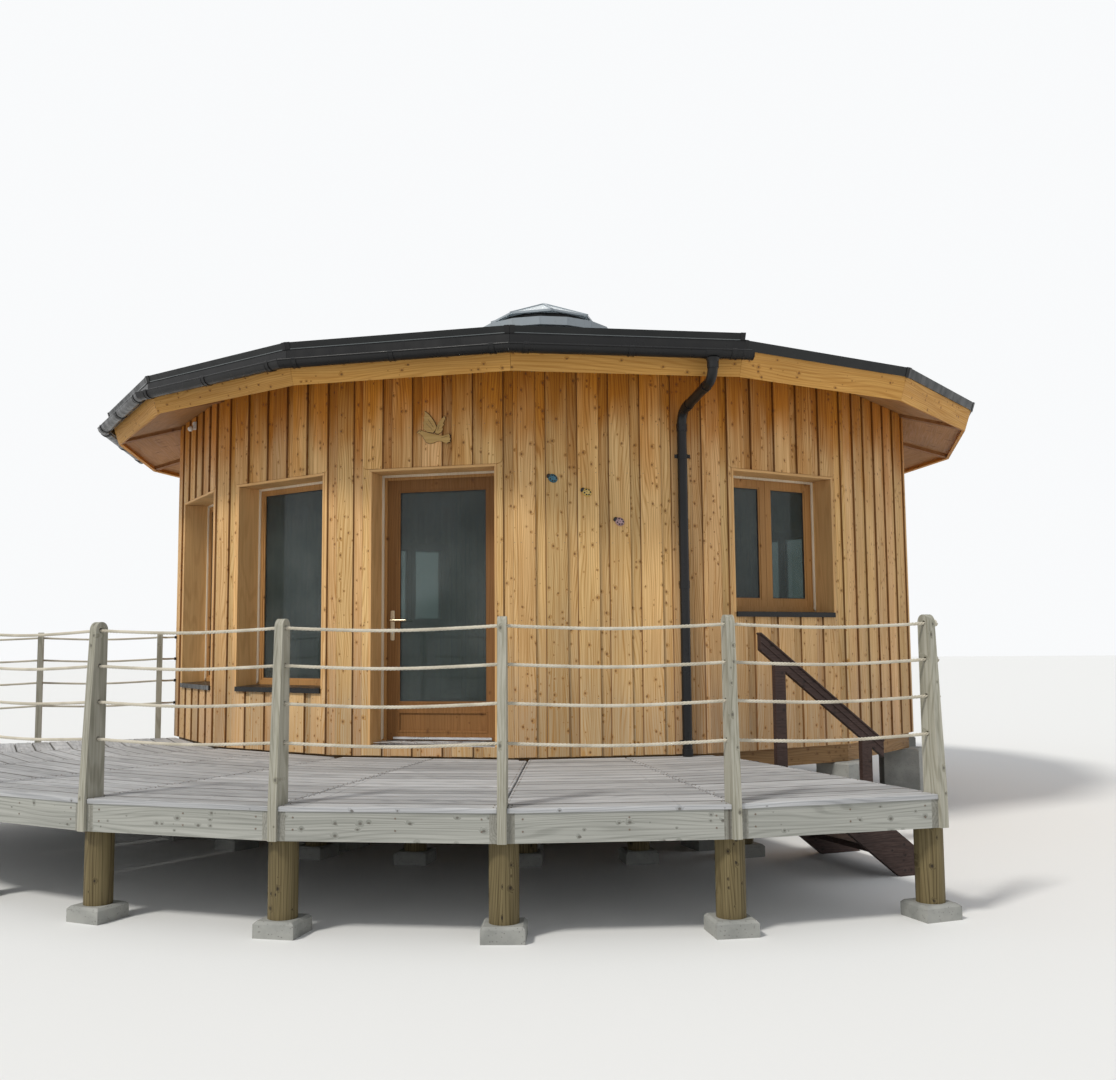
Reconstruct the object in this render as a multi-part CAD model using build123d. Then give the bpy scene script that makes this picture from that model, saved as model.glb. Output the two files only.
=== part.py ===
from build123d import *
import os
from math import cos, radians, sin, tan

# Sixteen-sided timber cabin on piers, with a quarter-round rope-railed deck and a short stair.
# Millimetres, +Z up. The origin is on the cabin's axis at the lowest ground; the door faces -Y.

# Driving dimensions: plan and levels
sides = 16
facet_width = 1500
wall_thickness = 300
siding_bottom = 720
floor_thickness = 80
rim_depth = 145
rim_width = 100
rim_setback = 30
board_joint = 2
ground_reach = 12000
sky_height = 7000
cut_past = 20

# Driving dimensions: roof
roof_pitch = 17
eave_overhang = 576
eave_height = 3565
fascia_depth = 200
fascia_thickness = 28
rafter_bottom = 8
rafter_width = 90
lining_bottom = 36
lining_thickness = 12
roof_panel_thickness = 35
membrane_thickness = 6
trim_rise = 70
trim_face = 77
gutter_trim_rise = 121
gutter_trim_face = 48
trim_front = 14
trim_width = 48
apron_gap = 3
apron_thickness = 5
apron_drop = 140

# Driving dimensions: gutter and downpipe
gutter_facets = (1, 0, 15, 14, 13)
gutter_radius = 52
gutter_sheet = 3
gutter_lip_height = 18
gutter_bead_radius = 7
gutter_bead_rise = 4
gutter_top_drop = 22
pipe_radius = 38
pipe_sheet = 2.5
pipe_offset = 545
outlet_offset = 616
pipe_wall_gap = 30
pipe_bend_radius = 120
neck_drop = 150
neck_height = 120
clip_width = 34
clip_thickness = 4
clip_below_neck = 354
clip_above_deck = 110
clip_stem = 14

# Driving dimensions: skylight
curb_width = 70
curb_apothem = 628
curb_rise = 46
skirt_apothem = 750
skirt_edge = 88
skirt_rise = 128
drum_apothem = 500
drum_thickness = 30
pane_sides = 8
pane_apothem = 550
pane_rise = 203
pane_thickness = 12
apex_rise = 247
cap_apothem = 44
cap_tip = 4
cap_thickness = 10
pane_joint = 3

# Driving dimensions: openings, measured on the finished reveals
opening_shift = 55
head_height = 2960
lining_board = 20
lining_proud = 4
frame_recess = 210
frame_depth = 70
door_width = 1020
tall_window_width = 1056
tall_window_sill = 1236
small_window_width = 1066
small_window_sill = 1818
tall_window_facets = (14, 15)
small_window_facets = (2, 6, 10)

# Driving dimensions: windows
window_frame_face = 24
window_frame_foot = 60
fixed_frame_face = 50
sash_face = 56
sash_setback = 8
sash_depth = 56
pane_unit = 24
sash_joint = 3
sill_thickness = 6
sill_nose = 34
sill_overlap = 34
sill_fall = 12

# Driving dimensions: door
door_frame_face = 28
door_lip = 14
door_lip_depth = 12
door_clearance = 8
threshold_height = 22
leaf_lip_gap = 5
leaf_stile = 95
leaf_top_rail = 92
leaf_bottom_rail = 290
panel_recess = 8
panel_margin = 60
hinge_radius = 9
hinge_pin_radius = 5
hinge_fit = 0.06
hinge_pin_length = 41
hinge_play = 0.5
hinge_length = 46
hinge_plate = 3
hinge_plate_width = 26
hinge_foot_gap = 233
hinge_head_gap = 224
handle_rise = 980
handle_backset = 52
handle_plate_width = 34
handle_plate_height = 240
handle_plate_rise = 80
handle_plate_corner = 11
handle_plate_thickness = 9
spindle_radius = 8
spindle_fit = 0.06
spindle_room = 4
lever_length = 128
lever_radius = 9
lever_reach = 46

# Driving dimensions: piers
pier_width = 320
pier_chamfer = 15
hub_apothem = 240
joist_width = 45

# Driving dimensions: deck
deck_bays = 8
deck_first_angle = -55.25
deck_bay_angle = 11.25
deck_radius = 6440
deck_top = 710
decking_thickness = 27
deck_frame_depth = 160
deck_joist_width = 43
deck_wall_gap = 6
deck_frame_gap = 120
decking_joint = 6
cross_rows = 3
post_diameter = 165
post_inset = 130
inner_post_gap = 410
pad_width = 240
pad_height = 90

# Driving dimensions: railing
plank_thickness = 50
plank_base_width = 145
plank_top_width = 92
plank_height = 1020
plank_proud = 20
plank_slot_gap = 3
edge_plank_radii = (4010, 5070)
rope_radius = 10
rope_hole_radius = 14
rope_heights = (336, 551, 761, 970)
rope_setback = 55
rope_side_gap = 4
rope_sag = 22
sag_span = 1240
sag_parts = 3
rope_corners = 10
rope_stub = 20
knot_radius = 22
knot_length = 34
eye_plate_width = 60
eye_plate_thickness = 6
eye_socket_radius = 14
eye_socket_length = 30
eye_socket_sunk = 2

# Driving dimensions: stair
stair_wall_gap = 570
stair_width = 960
stair_risers = 4
tread_going = 228
tread_depth = 250
tread_thickness = 40
stringer_width = 45
stringer_depth = 230
stair_deck_gap = 3
stringer_rise = 20
stringer_run = 890
housing_depth = 15
handrail_start = 100
handrail_height = 931
handrail_run = 1075
handrail_depth = 95
handrail_post_width = 90
handrail_post_thickness = 45
handrail_posts_at = (265, 1020)
handrail_post_tail = 260

# Sizes worked out from the driving dimensions
step = 360 / sides
half_step = radians(step / 2)
wall_apothem = facet_width / 2 / tan(half_step)
inner_apothem = wall_apothem - wall_thickness
floor_top = siding_bottom + floor_thickness
pier_top = siding_bottom - rim_depth
eave_apothem = wall_apothem + eave_overhang
pitch = radians(roof_pitch)
rafter_top = fascia_depth - roof_panel_thickness
deck_half = radians(deck_bay_angle / 2)
deck_underside = deck_top - decking_thickness
post_top = deck_underside - deck_frame_depth
outer_chord = deck_radius * cos(deck_half)
seam_offset = plank_thickness / 2
deck_end_angle = deck_first_angle + deck_bays * deck_bay_angle
seam_angles = [deck_first_angle + k * deck_bay_angle for k in range(deck_bays + 1)]
riser = deck_top / stair_risers
handle_height = floor_top + handle_rise
stair_inner_radius = wall_apothem + stair_wall_gap
stair_outer_radius = stair_inner_radius + stair_width
inner_post_radius = wall_apothem + inner_post_gap

# Drawing planes: profile_plane has x outwards from the axis towards -Y and y upwards
profile_plane = Plane(origin=(0, 0, 0), x_dir=(0, -1, 0), z_dir=(-1, 0, 0))


def turned(shape, angle):
    """The shape turned about the cabin's axis, from -Y towards +X."""
    return Rot(0, 0, angle) * shape


def on_slope(inward, rise):
    """Point (distance from axis, height) of the eave's slope frame, from the fascia's lower outer edge."""
    distance = eave_apothem + rise * sin(pitch) - inward * cos(pitch)
    height = eave_height + rise * cos(pitch) + inward * sin(pitch)
    return (distance, height)


def slope_at(distance, rise):
    """Point of a roof layer at a distance from the axis, rise being square to the slope."""
    inward = (eave_apothem + rise * sin(pitch) - distance) / cos(pitch)
    return on_slope(inward, rise)


def skylight_levels():
    """Heights of the curb's top, the panes' lower edge and the glazed cone's point."""
    curb_top = slope_at(curb_apothem, fascia_depth)[1] + curb_rise
    pane_foot = curb_top + pane_rise
    return (curb_top, pane_foot, pane_foot + apex_rise)


def sector(angle, joint):
    """Tall wedge about the -Y direction, each side set back by half a joint from the radial plane."""
    half = radians(angle) / 2
    apex = joint / 2 / sin(half)
    wide = (ground_reach - apex) * tan(half)
    outline = Polyline((0, -apex), (wide, -ground_reach), (-wide, -ground_reach), close=True)
    return extrude(make_face(outline), amount=sky_height)


def facet_piece(profile, joint=board_joint, angle=step):
    """A profile of (distance, height) points run along one facet and mitred at both ends."""
    face = make_face(profile_plane * Polyline(*profile, close=True))
    run = extrude(face, amount=ground_reach / 2, both=True)
    return run & sector(angle, joint)


def block(x_range, out_range, z_range):
    """Box in a facet's frame: x along the facet, out from the axis towards -Y, z upwards."""
    x0, x1 = x_range
    d0, d1 = out_range
    z0, z1 = z_range
    centre = Pos((x0 + x1) / 2, -(d0 + d1) / 2, (z0 + z1) / 2)
    return centre * Box(x1 - x0, d1 - d0, z1 - z0)


def ring(x_range, out_range, z_range, face_width, bottom_width=None):
    """Rectangular frame of one face width, or with a deeper bottom rail."""
    bottom = face_width if bottom_width is None else bottom_width
    whole = block(x_range, out_range, z_range)
    hole_x = (x_range[0] + face_width, x_range[1] - face_width)
    hole_z = (z_range[0] + bottom, z_range[1] - face_width)
    return whole - block(hole_x, (out_range[0] - cut_past, out_range[1] + cut_past), hole_z)


def inset(pair, amount):
    """A range made shorter by the amount at both ends."""
    return (pair[0] + amount, pair[1] - amount)


def rafter():
    """Hip rafter along -Y: ridged above and below where two roof facets meet, cut to the fascia."""
    profile = [
        slope_at(curb_apothem, rafter_bottom),
        on_slope(fascia_thickness, rafter_bottom),
        on_slope(fascia_thickness, rafter_top),
        slope_at(curb_apothem, rafter_top),
    ]
    face = make_face(profile_plane * Polyline(*profile, close=True))
    facet_run = turned(extrude(face, amount=ground_reach / 2, both=True), step / 2)
    half_strip = block((0, rafter_width / 2), (0, ground_reach), (0, sky_height))
    one_side = facet_run & half_strip
    return one_side + mirror(one_side, Plane.YZ)


def wall_panel():
    """Plain wall of one facet, its top cut to the roof slope and notched over both hip rafters."""
    lining_top = lining_bottom + lining_thickness
    profile = [
        (inner_apothem, siding_bottom),
        (wall_apothem, siding_bottom),
        slope_at(wall_apothem, lining_top),
        slope_at(inner_apothem, lining_top),
    ]
    hip = rafter()
    return facet_piece(profile) - turned(hip, step / 2) - turned(hip, -step / 2)


def opening_range(width):
    """Clear x range of an opening of this width."""
    return (opening_shift - width / 2, opening_shift + width / 2)


def window_wall(width, sill):
    """Wall with a window opening cut through, lining boards included in the cut."""
    clear = opening_range(width)
    hole = block(
        inset(clear, -lining_board),
        (inner_apothem - cut_past, wall_apothem + cut_past),
        (sill, head_height + lining_board),
    )
    return wall_panel() - hole


def lining_boards(width, bottom):
    """Two jamb boards and a head board of a reveal, from the frame out to just past the boarding."""
    left, right = opening_range(width)
    depth = (wall_apothem - frame_recess, wall_apothem + lining_proud)
    heights = (bottom, head_height - board_joint)
    return [
        block((left - lining_board, left), depth, heights),
        block((right, right + lining_board), depth, heights),
        block((left - lining_board, right + lining_board), depth, (head_height, head_height + lining_board)),
    ]


def window_frame(width, sill, face):
    """Fixed outer frame of a window, filling the cut in the wall behind the lining."""
    clear = inset(opening_range(width), -lining_board)
    depth = (wall_apothem - frame_recess - frame_depth, wall_apothem - frame_recess)
    levels = (sill, head_height + lining_board)
    return ring(clear, depth, levels, face + lining_board, window_frame_foot)


def sash_fields():
    """The x ranges of the two sashes of a small window, with a joint between them."""
    left, right = inset(opening_range(small_window_width), window_frame_face)
    each = (right - left - sash_joint) / 2
    return [(left, left + each), (right - each, right)]


def sash_height():
    """The z range of the sashes."""
    return (small_window_sill + window_frame_foot, head_height - window_frame_face)


def sash_depths():
    """The range of distances from the axis that a sash takes up."""
    outer = wall_apothem - frame_recess - sash_setback
    return (outer - sash_depth, outer)


def sashes():
    """The two sash rings of a small window."""
    return [ring(field, sash_depths(), sash_height(), sash_face) for field in sash_fields()]


def pane_depths():
    """The range of distances from the axis that a glazing unit takes up."""
    middle = sum(sash_depths()) / 2
    return (middle - pane_unit / 2, middle + pane_unit / 2)


def sash_panes():
    """The glazing units of a small window."""
    tall = inset(sash_height(), sash_face)
    return [block(inset(field, sash_face), pane_depths(), tall) for field in sash_fields()]


def fixed_pane():
    """The glazing unit of a tall window, set straight into its frame."""
    field = inset(opening_range(tall_window_width), fixed_frame_face)
    return block(field, pane_depths(), (tall_window_sill + window_frame_foot, head_height - fixed_frame_face))


def window_sill(width, sill):
    """Sloping metal sill with a turned-down nose, laid on the wall below the frame."""
    left, right = opening_range(width)
    back = wall_apothem - frame_recess
    front = wall_apothem + sill_nose
    profile = [
        (back, sill),
        (wall_apothem, sill),
        (wall_apothem, sill - sill_overlap),
        (front, sill - sill_overlap),
        (front, sill + sill_thickness),
        (back, sill + sill_thickness + sill_fall),
    ]
    face = make_face(profile_plane * Polyline(*profile, close=True))
    run = extrude(face, amount=ground_reach / 4, both=True)
    return run & block((left, right), (back - cut_past, front + cut_past), (0, sky_height))


def door_levels():
    """Bottom and top of the door leaf."""
    bottom = floor_top + threshold_height + leaf_lip_gap
    top = head_height - door_frame_face - door_clearance
    return (bottom, top)


def door_fields():
    """The x range of the door leaf."""
    return inset(opening_range(door_width), door_frame_face + door_clearance)


def door_depths():
    """The range of distances from the axis that the door leaf takes up."""
    outer = wall_apothem - frame_recess - door_lip_depth - leaf_lip_gap
    inner = wall_apothem - frame_recess - frame_depth
    return (inner, outer)


def hinge_axis():
    """The x and distance of the door's hinge axis, on the room side of the leaf's right edge."""
    x_axis = door_fields()[1] + door_clearance / 2
    distance = door_depths()[0] - hinge_radius - hinge_plate
    return (x_axis, distance)


def door_frame():
    """Two jambs and a head, each with a stop lip in front of the leaf."""
    left, right = inset(opening_range(door_width), -lining_board)
    back = wall_apothem - frame_recess - frame_depth
    front = wall_apothem - frame_recess
    face = door_frame_face + lining_board
    top = head_height + lining_board
    under_head = head_height - door_frame_face - board_joint
    lip = (front - door_lip_depth, front)
    lip_foot = floor_top + threshold_height
    left_jamb = block((left, left + face), (back, front), (floor_top, under_head))
    left_jamb += block((left + face, left + face + door_lip), lip, (lip_foot, under_head))
    right_jamb = block((right - face, right), (back, front), (floor_top, under_head))
    right_jamb += block((right - face - door_lip, right - face), lip, (lip_foot, under_head))
    head = block((left, right), (back, front), (under_head + board_joint, top))
    lip_field = (left + face + door_lip + board_joint, right - face - door_lip - board_joint)
    head += block(lip_field, lip, (under_head + board_joint - door_lip, under_head + board_joint))
    return [left_jamb, right_jamb, head]


def door_leaf():
    """Glazed leaf with a deep bottom rail, a sunk panel in it and a bore for the spindle."""
    field = door_fields()
    levels = door_levels()
    depth = door_depths()
    whole = block(field, depth, levels)
    glass_x = inset(field, leaf_stile)
    glass_z = (levels[0] + leaf_bottom_rail, levels[1] - leaf_top_rail)
    through = (depth[0] - cut_past, depth[1] + cut_past)
    leaf = whole - block(glass_x, through, glass_z)
    panel_x = inset(field, leaf_stile)
    panel_z = (levels[0] + panel_margin, levels[0] + leaf_bottom_rail - panel_margin)
    leaf -= block(panel_x, (depth[1] - panel_recess, depth[1] + cut_past), panel_z)
    bore = Pos(handle_x(), -sum(depth) / 2, handle_height) * Rot(90, 0, 0)
    return leaf - bore * Cylinder(spindle_radius + spindle_room, depth[1] - depth[0] + cut_past)


def door_glass():
    """The door's glazing unit."""
    levels = door_levels()
    depth = door_depths()
    middle = sum(depth) / 2
    glass_z = (levels[0] + leaf_bottom_rail, levels[1] - leaf_top_rail)
    return block(inset(door_fields(), leaf_stile), (middle - pane_unit / 2, middle + pane_unit / 2), glass_z)


def handle_x():
    """The spindle's place across the leaf, on its left stile."""
    return door_fields()[0] + handle_backset


def handle_plates():
    """Long plates on both faces of the leaf, bored for the spindle with a running fit."""
    depth = door_depths()
    field = (handle_x() - handle_plate_width / 2, handle_x() + handle_plate_width / 2)
    top = handle_height + handle_plate_rise
    heights = (top - handle_plate_height, top)
    outside = block(field, (depth[1], depth[1] + handle_plate_thickness), heights)
    inside = block(field, (depth[0] - handle_plate_thickness, depth[0]), heights)
    bore = Pos(handle_x(), -sum(depth) / 2, handle_height) * Rot(90, 0, 0)
    drill = bore * Cylinder(spindle_radius + spindle_fit, 2 * leaf_stile)
    edges_out = outside.edges().filter_by(Axis.Y)
    edges_in = inside.edges().filter_by(Axis.Y)
    outside = fillet(edges_out, handle_plate_corner)
    inside = fillet(edges_in, handle_plate_corner)
    return [outside - drill, inside - drill]


def lever():
    """Spindle with a lever on each side, both pointing to the hinges."""
    depth = door_depths()
    front = depth[1] + handle_plate_thickness + lever_reach
    back = depth[0] - handle_plate_thickness - lever_reach
    length = front - back
    spindle = Pos(handle_x(), -(front + back) / 2, handle_height) * Rot(90, 0, 0) * Cylinder(spindle_radius, length)
    grips = []
    for distance in (front, back):
        place = Pos(handle_x() + lever_length / 2, -distance, handle_height)
        grip = place * Rot(0, 90, 0) * Cylinder(lever_radius, lever_length)
        end = Pos(handle_x() + lever_length, -distance, handle_height) * Sphere(lever_radius)
        root = Pos(handle_x(), -distance, handle_height) * Sphere(lever_radius)
        grips.append(grip + end + root)
    return spindle + grips[0] + grips[1]


def hinge_parts():
    """Frame knuckles with their pins, and leaf knuckles that turn on them."""
    x_axis, distance = hinge_axis()
    leaf_edge = door_fields()[1]
    jamb_edge = leaf_edge + door_clearance
    wall_side = door_depths()[0]
    fixed = []
    moving = []
    lowest = door_levels()[0] + hinge_foot_gap
    highest = door_levels()[1] - hinge_head_gap
    for height in (lowest, (lowest + highest) / 2, highest):
        low = (height - hinge_length, height)
        high = (height + hinge_play, height + hinge_length)
        plate_depth = (wall_side - hinge_plate, wall_side)
        web_depth = (distance, wall_side)
        knuckle = Pos(x_axis, -distance, height - hinge_length / 2) * Cylinder(hinge_radius, hinge_length)
        pin = Pos(x_axis, -distance, height + hinge_pin_length / 2) * Cylinder(hinge_pin_radius, hinge_pin_length)
        plate = block((jamb_edge, jamb_edge + hinge_plate_width), plate_depth, low)
        web = block((x_axis, jamb_edge + hinge_plate), (distance, wall_side - hinge_plate), low)
        web += block((jamb_edge, jamb_edge + hinge_plate), web_depth, low)
        fixed.append(knuckle + pin + plate + web)
        turning_length = high[1] - high[0]
        sleeve = Pos(x_axis, -distance, sum(high) / 2) * Cylinder(hinge_radius, turning_length)
        sleeve += block((leaf_edge - hinge_plate_width, leaf_edge), plate_depth, high)
        sleeve += block((leaf_edge - hinge_plate, x_axis), (distance, wall_side - hinge_plate), high)
        bore = Pos(x_axis, -distance, sum(high) / 2)
        moving.append(sleeve - bore * Cylinder(hinge_pin_radius + hinge_fit, turning_length + cut_past))
    return fixed, moving


def gutter_section():
    """Half-round channel with a bead in front and a flat lip behind, drawn about its centre."""
    channel = Circle(gutter_radius) - Circle(gutter_radius - gutter_sheet)
    channel &= Pos(0, -gutter_radius) * Rectangle(2 * gutter_radius + cut_past, 2 * gutter_radius)
    lip = Pos(-gutter_radius + gutter_sheet / 2, gutter_lip_height / 2) * Rectangle(gutter_sheet, gutter_lip_height)
    bead = Pos(gutter_radius - gutter_sheet / 2, gutter_bead_rise) * Circle(gutter_bead_radius)
    return channel + lip + bead


def gutter_trim_lower():
    """Rise of the lower edge of the taller trim above the gutter."""
    return fascia_depth + membrane_thickness + gutter_trim_rise - gutter_trim_face


def apron_face():
    """Distance of the apron's outer face, where the gutter's lip lies."""
    return on_slope(-apron_gap, gutter_trim_lower())[0] + apron_thickness


def gutter_centre():
    """Distance and height of the gutter's centre."""
    top = on_slope(0, fascia_depth)[1] - gutter_top_drop
    return (apron_face() + gutter_radius, top - gutter_lip_height)


def gutter_run():
    """One mitred gutter length."""
    distance, height = gutter_centre()
    section = profile_plane * Pos(distance, height) * gutter_section()
    run = extrude(section, amount=ground_reach / 8, both=True)
    return run & sector(step, board_joint)


def downpipe():
    """Swan-necked pipe from the gutter's underside to the wall and down to the deck."""
    gutter_out, gutter_z = gutter_centre()
    wall_out = wall_apothem + pipe_wall_gap + pipe_radius
    top = gutter_z - gutter_radius
    route = FilletPolyline(
        (outlet_offset, -gutter_out, top),
        (outlet_offset, -gutter_out, top - neck_drop),
        (pipe_offset, -wall_out, top - neck_drop - neck_height),
        (pipe_offset, -wall_out, deck_top),
        radius=pipe_bend_radius,
    )
    start = Plane(origin=(outlet_offset, -gutter_out, top), z_dir=(0, 0, -1))
    tube = sweep(start * (Circle(pipe_radius) - Circle(pipe_radius - pipe_sheet)), path=route)
    return tube


def clip_heights():
    """Heights of the downpipe's two clips."""
    gutter_z = gutter_centre()[1]
    return (gutter_z - gutter_radius - neck_drop - neck_height - clip_below_neck, deck_top + clip_above_deck)


def downpipe_clip(height):
    """Clip ring round the pipe with a stem to the wall."""
    wall_out = wall_apothem + pipe_wall_gap + pipe_radius
    outer = Cylinder(pipe_radius + clip_thickness, clip_width)
    clip = Pos(pipe_offset, -wall_out, height) * (outer - Cylinder(pipe_radius, clip_width))
    stem_out = wall_out - pipe_radius - clip_thickness / 2
    half = clip_stem / 2
    clip += block((pipe_offset - half, pipe_offset + half), (wall_apothem, stem_out), (height - half, height + half))
    return clip


def deck_wall_line():
    """Tall prism just outside the wall, which the deck's inner edges follow."""
    outline = RegularPolygon(wall_apothem + deck_wall_gap, sides, major_radius=False, rotation=step / 2)
    return extrude(outline, amount=sky_height)


def bay_wedge(setback):
    """Wedge of one deck bay about -Y, its sides set back from both seams and its end on the chord."""
    wedge = sector(deck_bay_angle, 2 * setback)
    return wedge & block((-ground_reach / 2, ground_reach / 2), (0, outer_chord), (0, sky_height))


def plank_slot(angle):
    """The room a stanchion takes at a seam, with its clearance."""
    half = plank_thickness / 2 + plank_slot_gap
    inner = plank_inner_radius() - plank_slot_gap
    return turned(block((-half, half), (inner, deck_radius + cut_past), (0, deck_top + cut_past)), angle)


def edge_slot(radius):
    """The room a stanchion takes in the decking's left edge, with its clearance."""
    half = plank_thickness / 2 + plank_slot_gap
    reach = (-plank_base_width, seam_offset + plank_slot_gap)
    return turned(block(reach, (radius - half, radius + half), (0, deck_top + cut_past)), deck_first_angle)


def stanchion(hole_at):
    """Upright plank outwards from its inner edge, rounded at the head, narrower there, drilled for ropes."""
    top = deck_top + plank_height
    radius = plank_top_width / 2
    outline = Polyline(
        (0, post_top),
        (plank_base_width, post_top),
        (plank_base_width, deck_top),
        (plank_top_width, top - radius),
        (0, top - radius),
        close=True,
    )
    flat = make_face(profile_plane * outline)
    head = profile_plane * Pos(radius, top - radius) * Circle(radius)
    plank = extrude(flat, amount=seam_offset, both=True) + extrude(head, amount=seam_offset, both=True)
    for height in rope_heights:
        hole = Pos(0, -hole_at, deck_top + height) * Rot(0, 90, 0)
        plank -= hole * Cylinder(rope_hole_radius, plank_thickness + cut_past)
    return plank


def plank_inner_radius():
    """Distance of a seam plank's inner edge from the axis."""
    return deck_radius + plank_proud - plank_base_width


def rope_side():
    """How far outside the left seam the ropes run back to the wall."""
    return seam_offset + rope_side_gap + rope_radius


def wall_end_distance():
    """Distance along the left seam, at the ropes' side, at which it meets the eye plate."""
    lean = radians(round(deck_first_angle / step) * step - deck_first_angle)
    return (wall_apothem + eye_plate_thickness + rope_side() * sin(lean)) / cos(lean)


def seam_point(sideways, distance, angle):
    """Plan point at a distance along a seam and sideways from it."""
    turn = radians(angle)
    x = distance * sin(turn) + sideways * cos(turn)
    y = -distance * cos(turn) + sideways * sin(turn)
    return Vector(x, y, 0)


def sagging(first, second):
    """Points of a span that hangs between two holes, the far hole included."""
    drop = rope_sag * (second - first).length / sag_span
    points = []
    for part in range(1, sag_parts + 1):
        share = part / sag_parts
        dip = Vector(0, 0, 4 * drop * share * (1 - share))
        points.append(first + (second - first) * share - dip)
    return points


def rope_route(height):
    """The rope's line from its socket on the wall, through every plank, to just past the last one."""
    lift = Vector(0, 0, deck_top + height)
    side = -rope_side()
    socket_end = wall_end_distance() + eye_socket_length
    distance = plank_inner_radius() + rope_setback
    start = seam_point(side, socket_end, deck_first_angle) + lift
    stub = seam_point(side, socket_end + rope_stub, deck_first_angle) + lift
    edge = [seam_point(side, radius, deck_first_angle) + lift for radius in edge_plank_radii]
    corner = seam_point(side, distance, deck_first_angle) + lift
    arc = [seam_point(0, distance, angle) + lift for angle in seam_angles]
    tail = seam_point(seam_offset + rope_stub, distance, deck_end_angle) + lift
    along_edge = [stub] + edge + [corner]
    route = [start, stub]
    for first, second in zip(along_edge, along_edge[1:]):
        route += sagging(first, second)
    route.append(arc[0])
    for first, second in zip(arc, arc[1:]):
        route += sagging(first, second)
    return route + [tail]


def rope(height):
    """One rope along its route, knotted outside the last plank."""
    route = rope_route(height)
    start = Plane(origin=route[0], z_dir=route[1] - route[0])
    section = start * RegularPolygon(rope_radius, rope_corners)
    line = sweep(section, path=Polyline(*route), transition=Transition.RIGHT)
    distance = plank_inner_radius() + rope_setback
    place = Pos(seam_offset + knot_length / 2, -distance, deck_top + height) * Rot(0, 90, 0)
    return line + turned(place * Cylinder(knot_radius, knot_length), deck_end_angle)


def rope_eye(height):
    """Eye plate on the wall with a socket that holds the rope's end."""
    facet = round(deck_first_angle / step) * step
    lean = radians(facet - deck_first_angle)
    along = -rope_side() * cos(lean) - wall_end_distance() * sin(lean)
    half = eye_plate_width / 2
    level = deck_top + height
    faces = (wall_apothem, wall_apothem + eye_plate_thickness)
    plate = turned(block((along - half, along + half), faces, (level - half, level + half)), facet)
    length = eye_socket_length + eye_socket_sunk
    middle = wall_end_distance() - eye_socket_sunk + length / 2
    socket = Pos(-rope_side(), -middle, level) * Rot(90, 0, 0) * Cylinder(eye_socket_radius, length)
    return plate + turned(socket, deck_first_angle)


def node(name, solids):
    """Write one node's solids as a STEP file."""
    shapes = [piece for solid in solids for piece in solid.solids()]
    shape = shapes[0] if len(shapes) == 1 else Compound(shapes)
    export_step(shape, f"parts/{name}.step")


def repeated(piece, turns):
    """Copies of a facet piece at these facet numbers, counted from the door."""
    return [turned(piece, step * k) for k in turns]


def spread(pieces, turns):
    """Copies of several facet pieces at these facet numbers."""
    return [turned(piece, step * k) for k in turns for piece in pieces]


def piers():
    """Square piers under the rim's corners and one under the floor's hub."""
    size = pier_width
    pier = Pos(0, 0, pier_top / 2) * Box(size, size, pier_top)
    pier = chamfer(pier.faces().sort_by(Axis.Z)[-1].edges(), pier_chamfer)
    radius = (wall_apothem - rim_setback - rim_width / 2) / cos(half_step)
    corners = [turned(Pos(0, -radius, 0) * pier, step * (k + 0.5)) for k in range(sides)]
    return corners + [pier]


def floor_hub():
    """Sixteen-sided timber block on the middle pier, carrying the joists' inner ends."""
    outline = RegularPolygon(hub_apothem, sides, major_radius=False, rotation=step / 2)
    return Pos(0, 0, pier_top) * extrude(outline, amount=rim_depth)


def floor_joist():
    """Radial joist from the hub to the rim beam."""
    half = joist_width / 2
    reach = (hub_apothem, wall_apothem - rim_setback - rim_width)
    return block((-half, half), reach, (pier_top, siding_bottom))


def floor_plate():
    """Floor deck between the walls."""
    outline = RegularPolygon(inner_apothem, sides, major_radius=False, rotation=step / 2)
    return Pos(0, 0, siding_bottom) * extrude(outline, amount=floor_thickness)


def rim_beam():
    """Beam under one wall, set back from its face."""
    outer = wall_apothem - rim_setback
    inner = outer - rim_width
    profile = [(inner, pier_top), (outer, pier_top), (outer, siding_bottom), (inner, siding_bottom)]
    return facet_piece(profile)


def front_wall_parts():
    """The door's wall split into the two sides of the doorway, the panel over it and the sill under it."""
    panel = wall_panel()
    left, right = inset(opening_range(door_width), -lining_board)
    through = (inner_apothem - cut_past, wall_apothem + cut_past)
    top = head_height + lining_board
    left_side = panel & block((-facet_width, left), through, (0, sky_height))
    right_side = panel & block((right, facet_width), through, (0, sky_height))
    head = panel & block((left, right), through, (top, sky_height))
    sill = panel & block((left, right), through, (0, floor_top))
    return left_side + right_side, head, sill


def threshold():
    """Metal threshold across the doorway, sloping out past the leaf."""
    left, right = opening_range(door_width)
    back = wall_apothem - frame_recess - frame_depth
    front = wall_apothem + lining_proud
    lip = wall_apothem - frame_recess
    profile = [
        (back, floor_top),
        (front, floor_top),
        (front, floor_top + sill_thickness),
        (lip, floor_top + threshold_height),
        (back, floor_top + threshold_height),
    ]
    face = make_face(profile_plane * Polyline(*profile, close=True))
    run = extrude(face, amount=ground_reach / 4, both=True)
    jamb = door_frame_face
    narrow = block((left + jamb, right - jamb), (back - cut_past, lip), (0, sky_height))
    wide = block((left, right), (lip, front + cut_past), (0, sky_height))
    return run & (narrow + wide)


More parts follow.
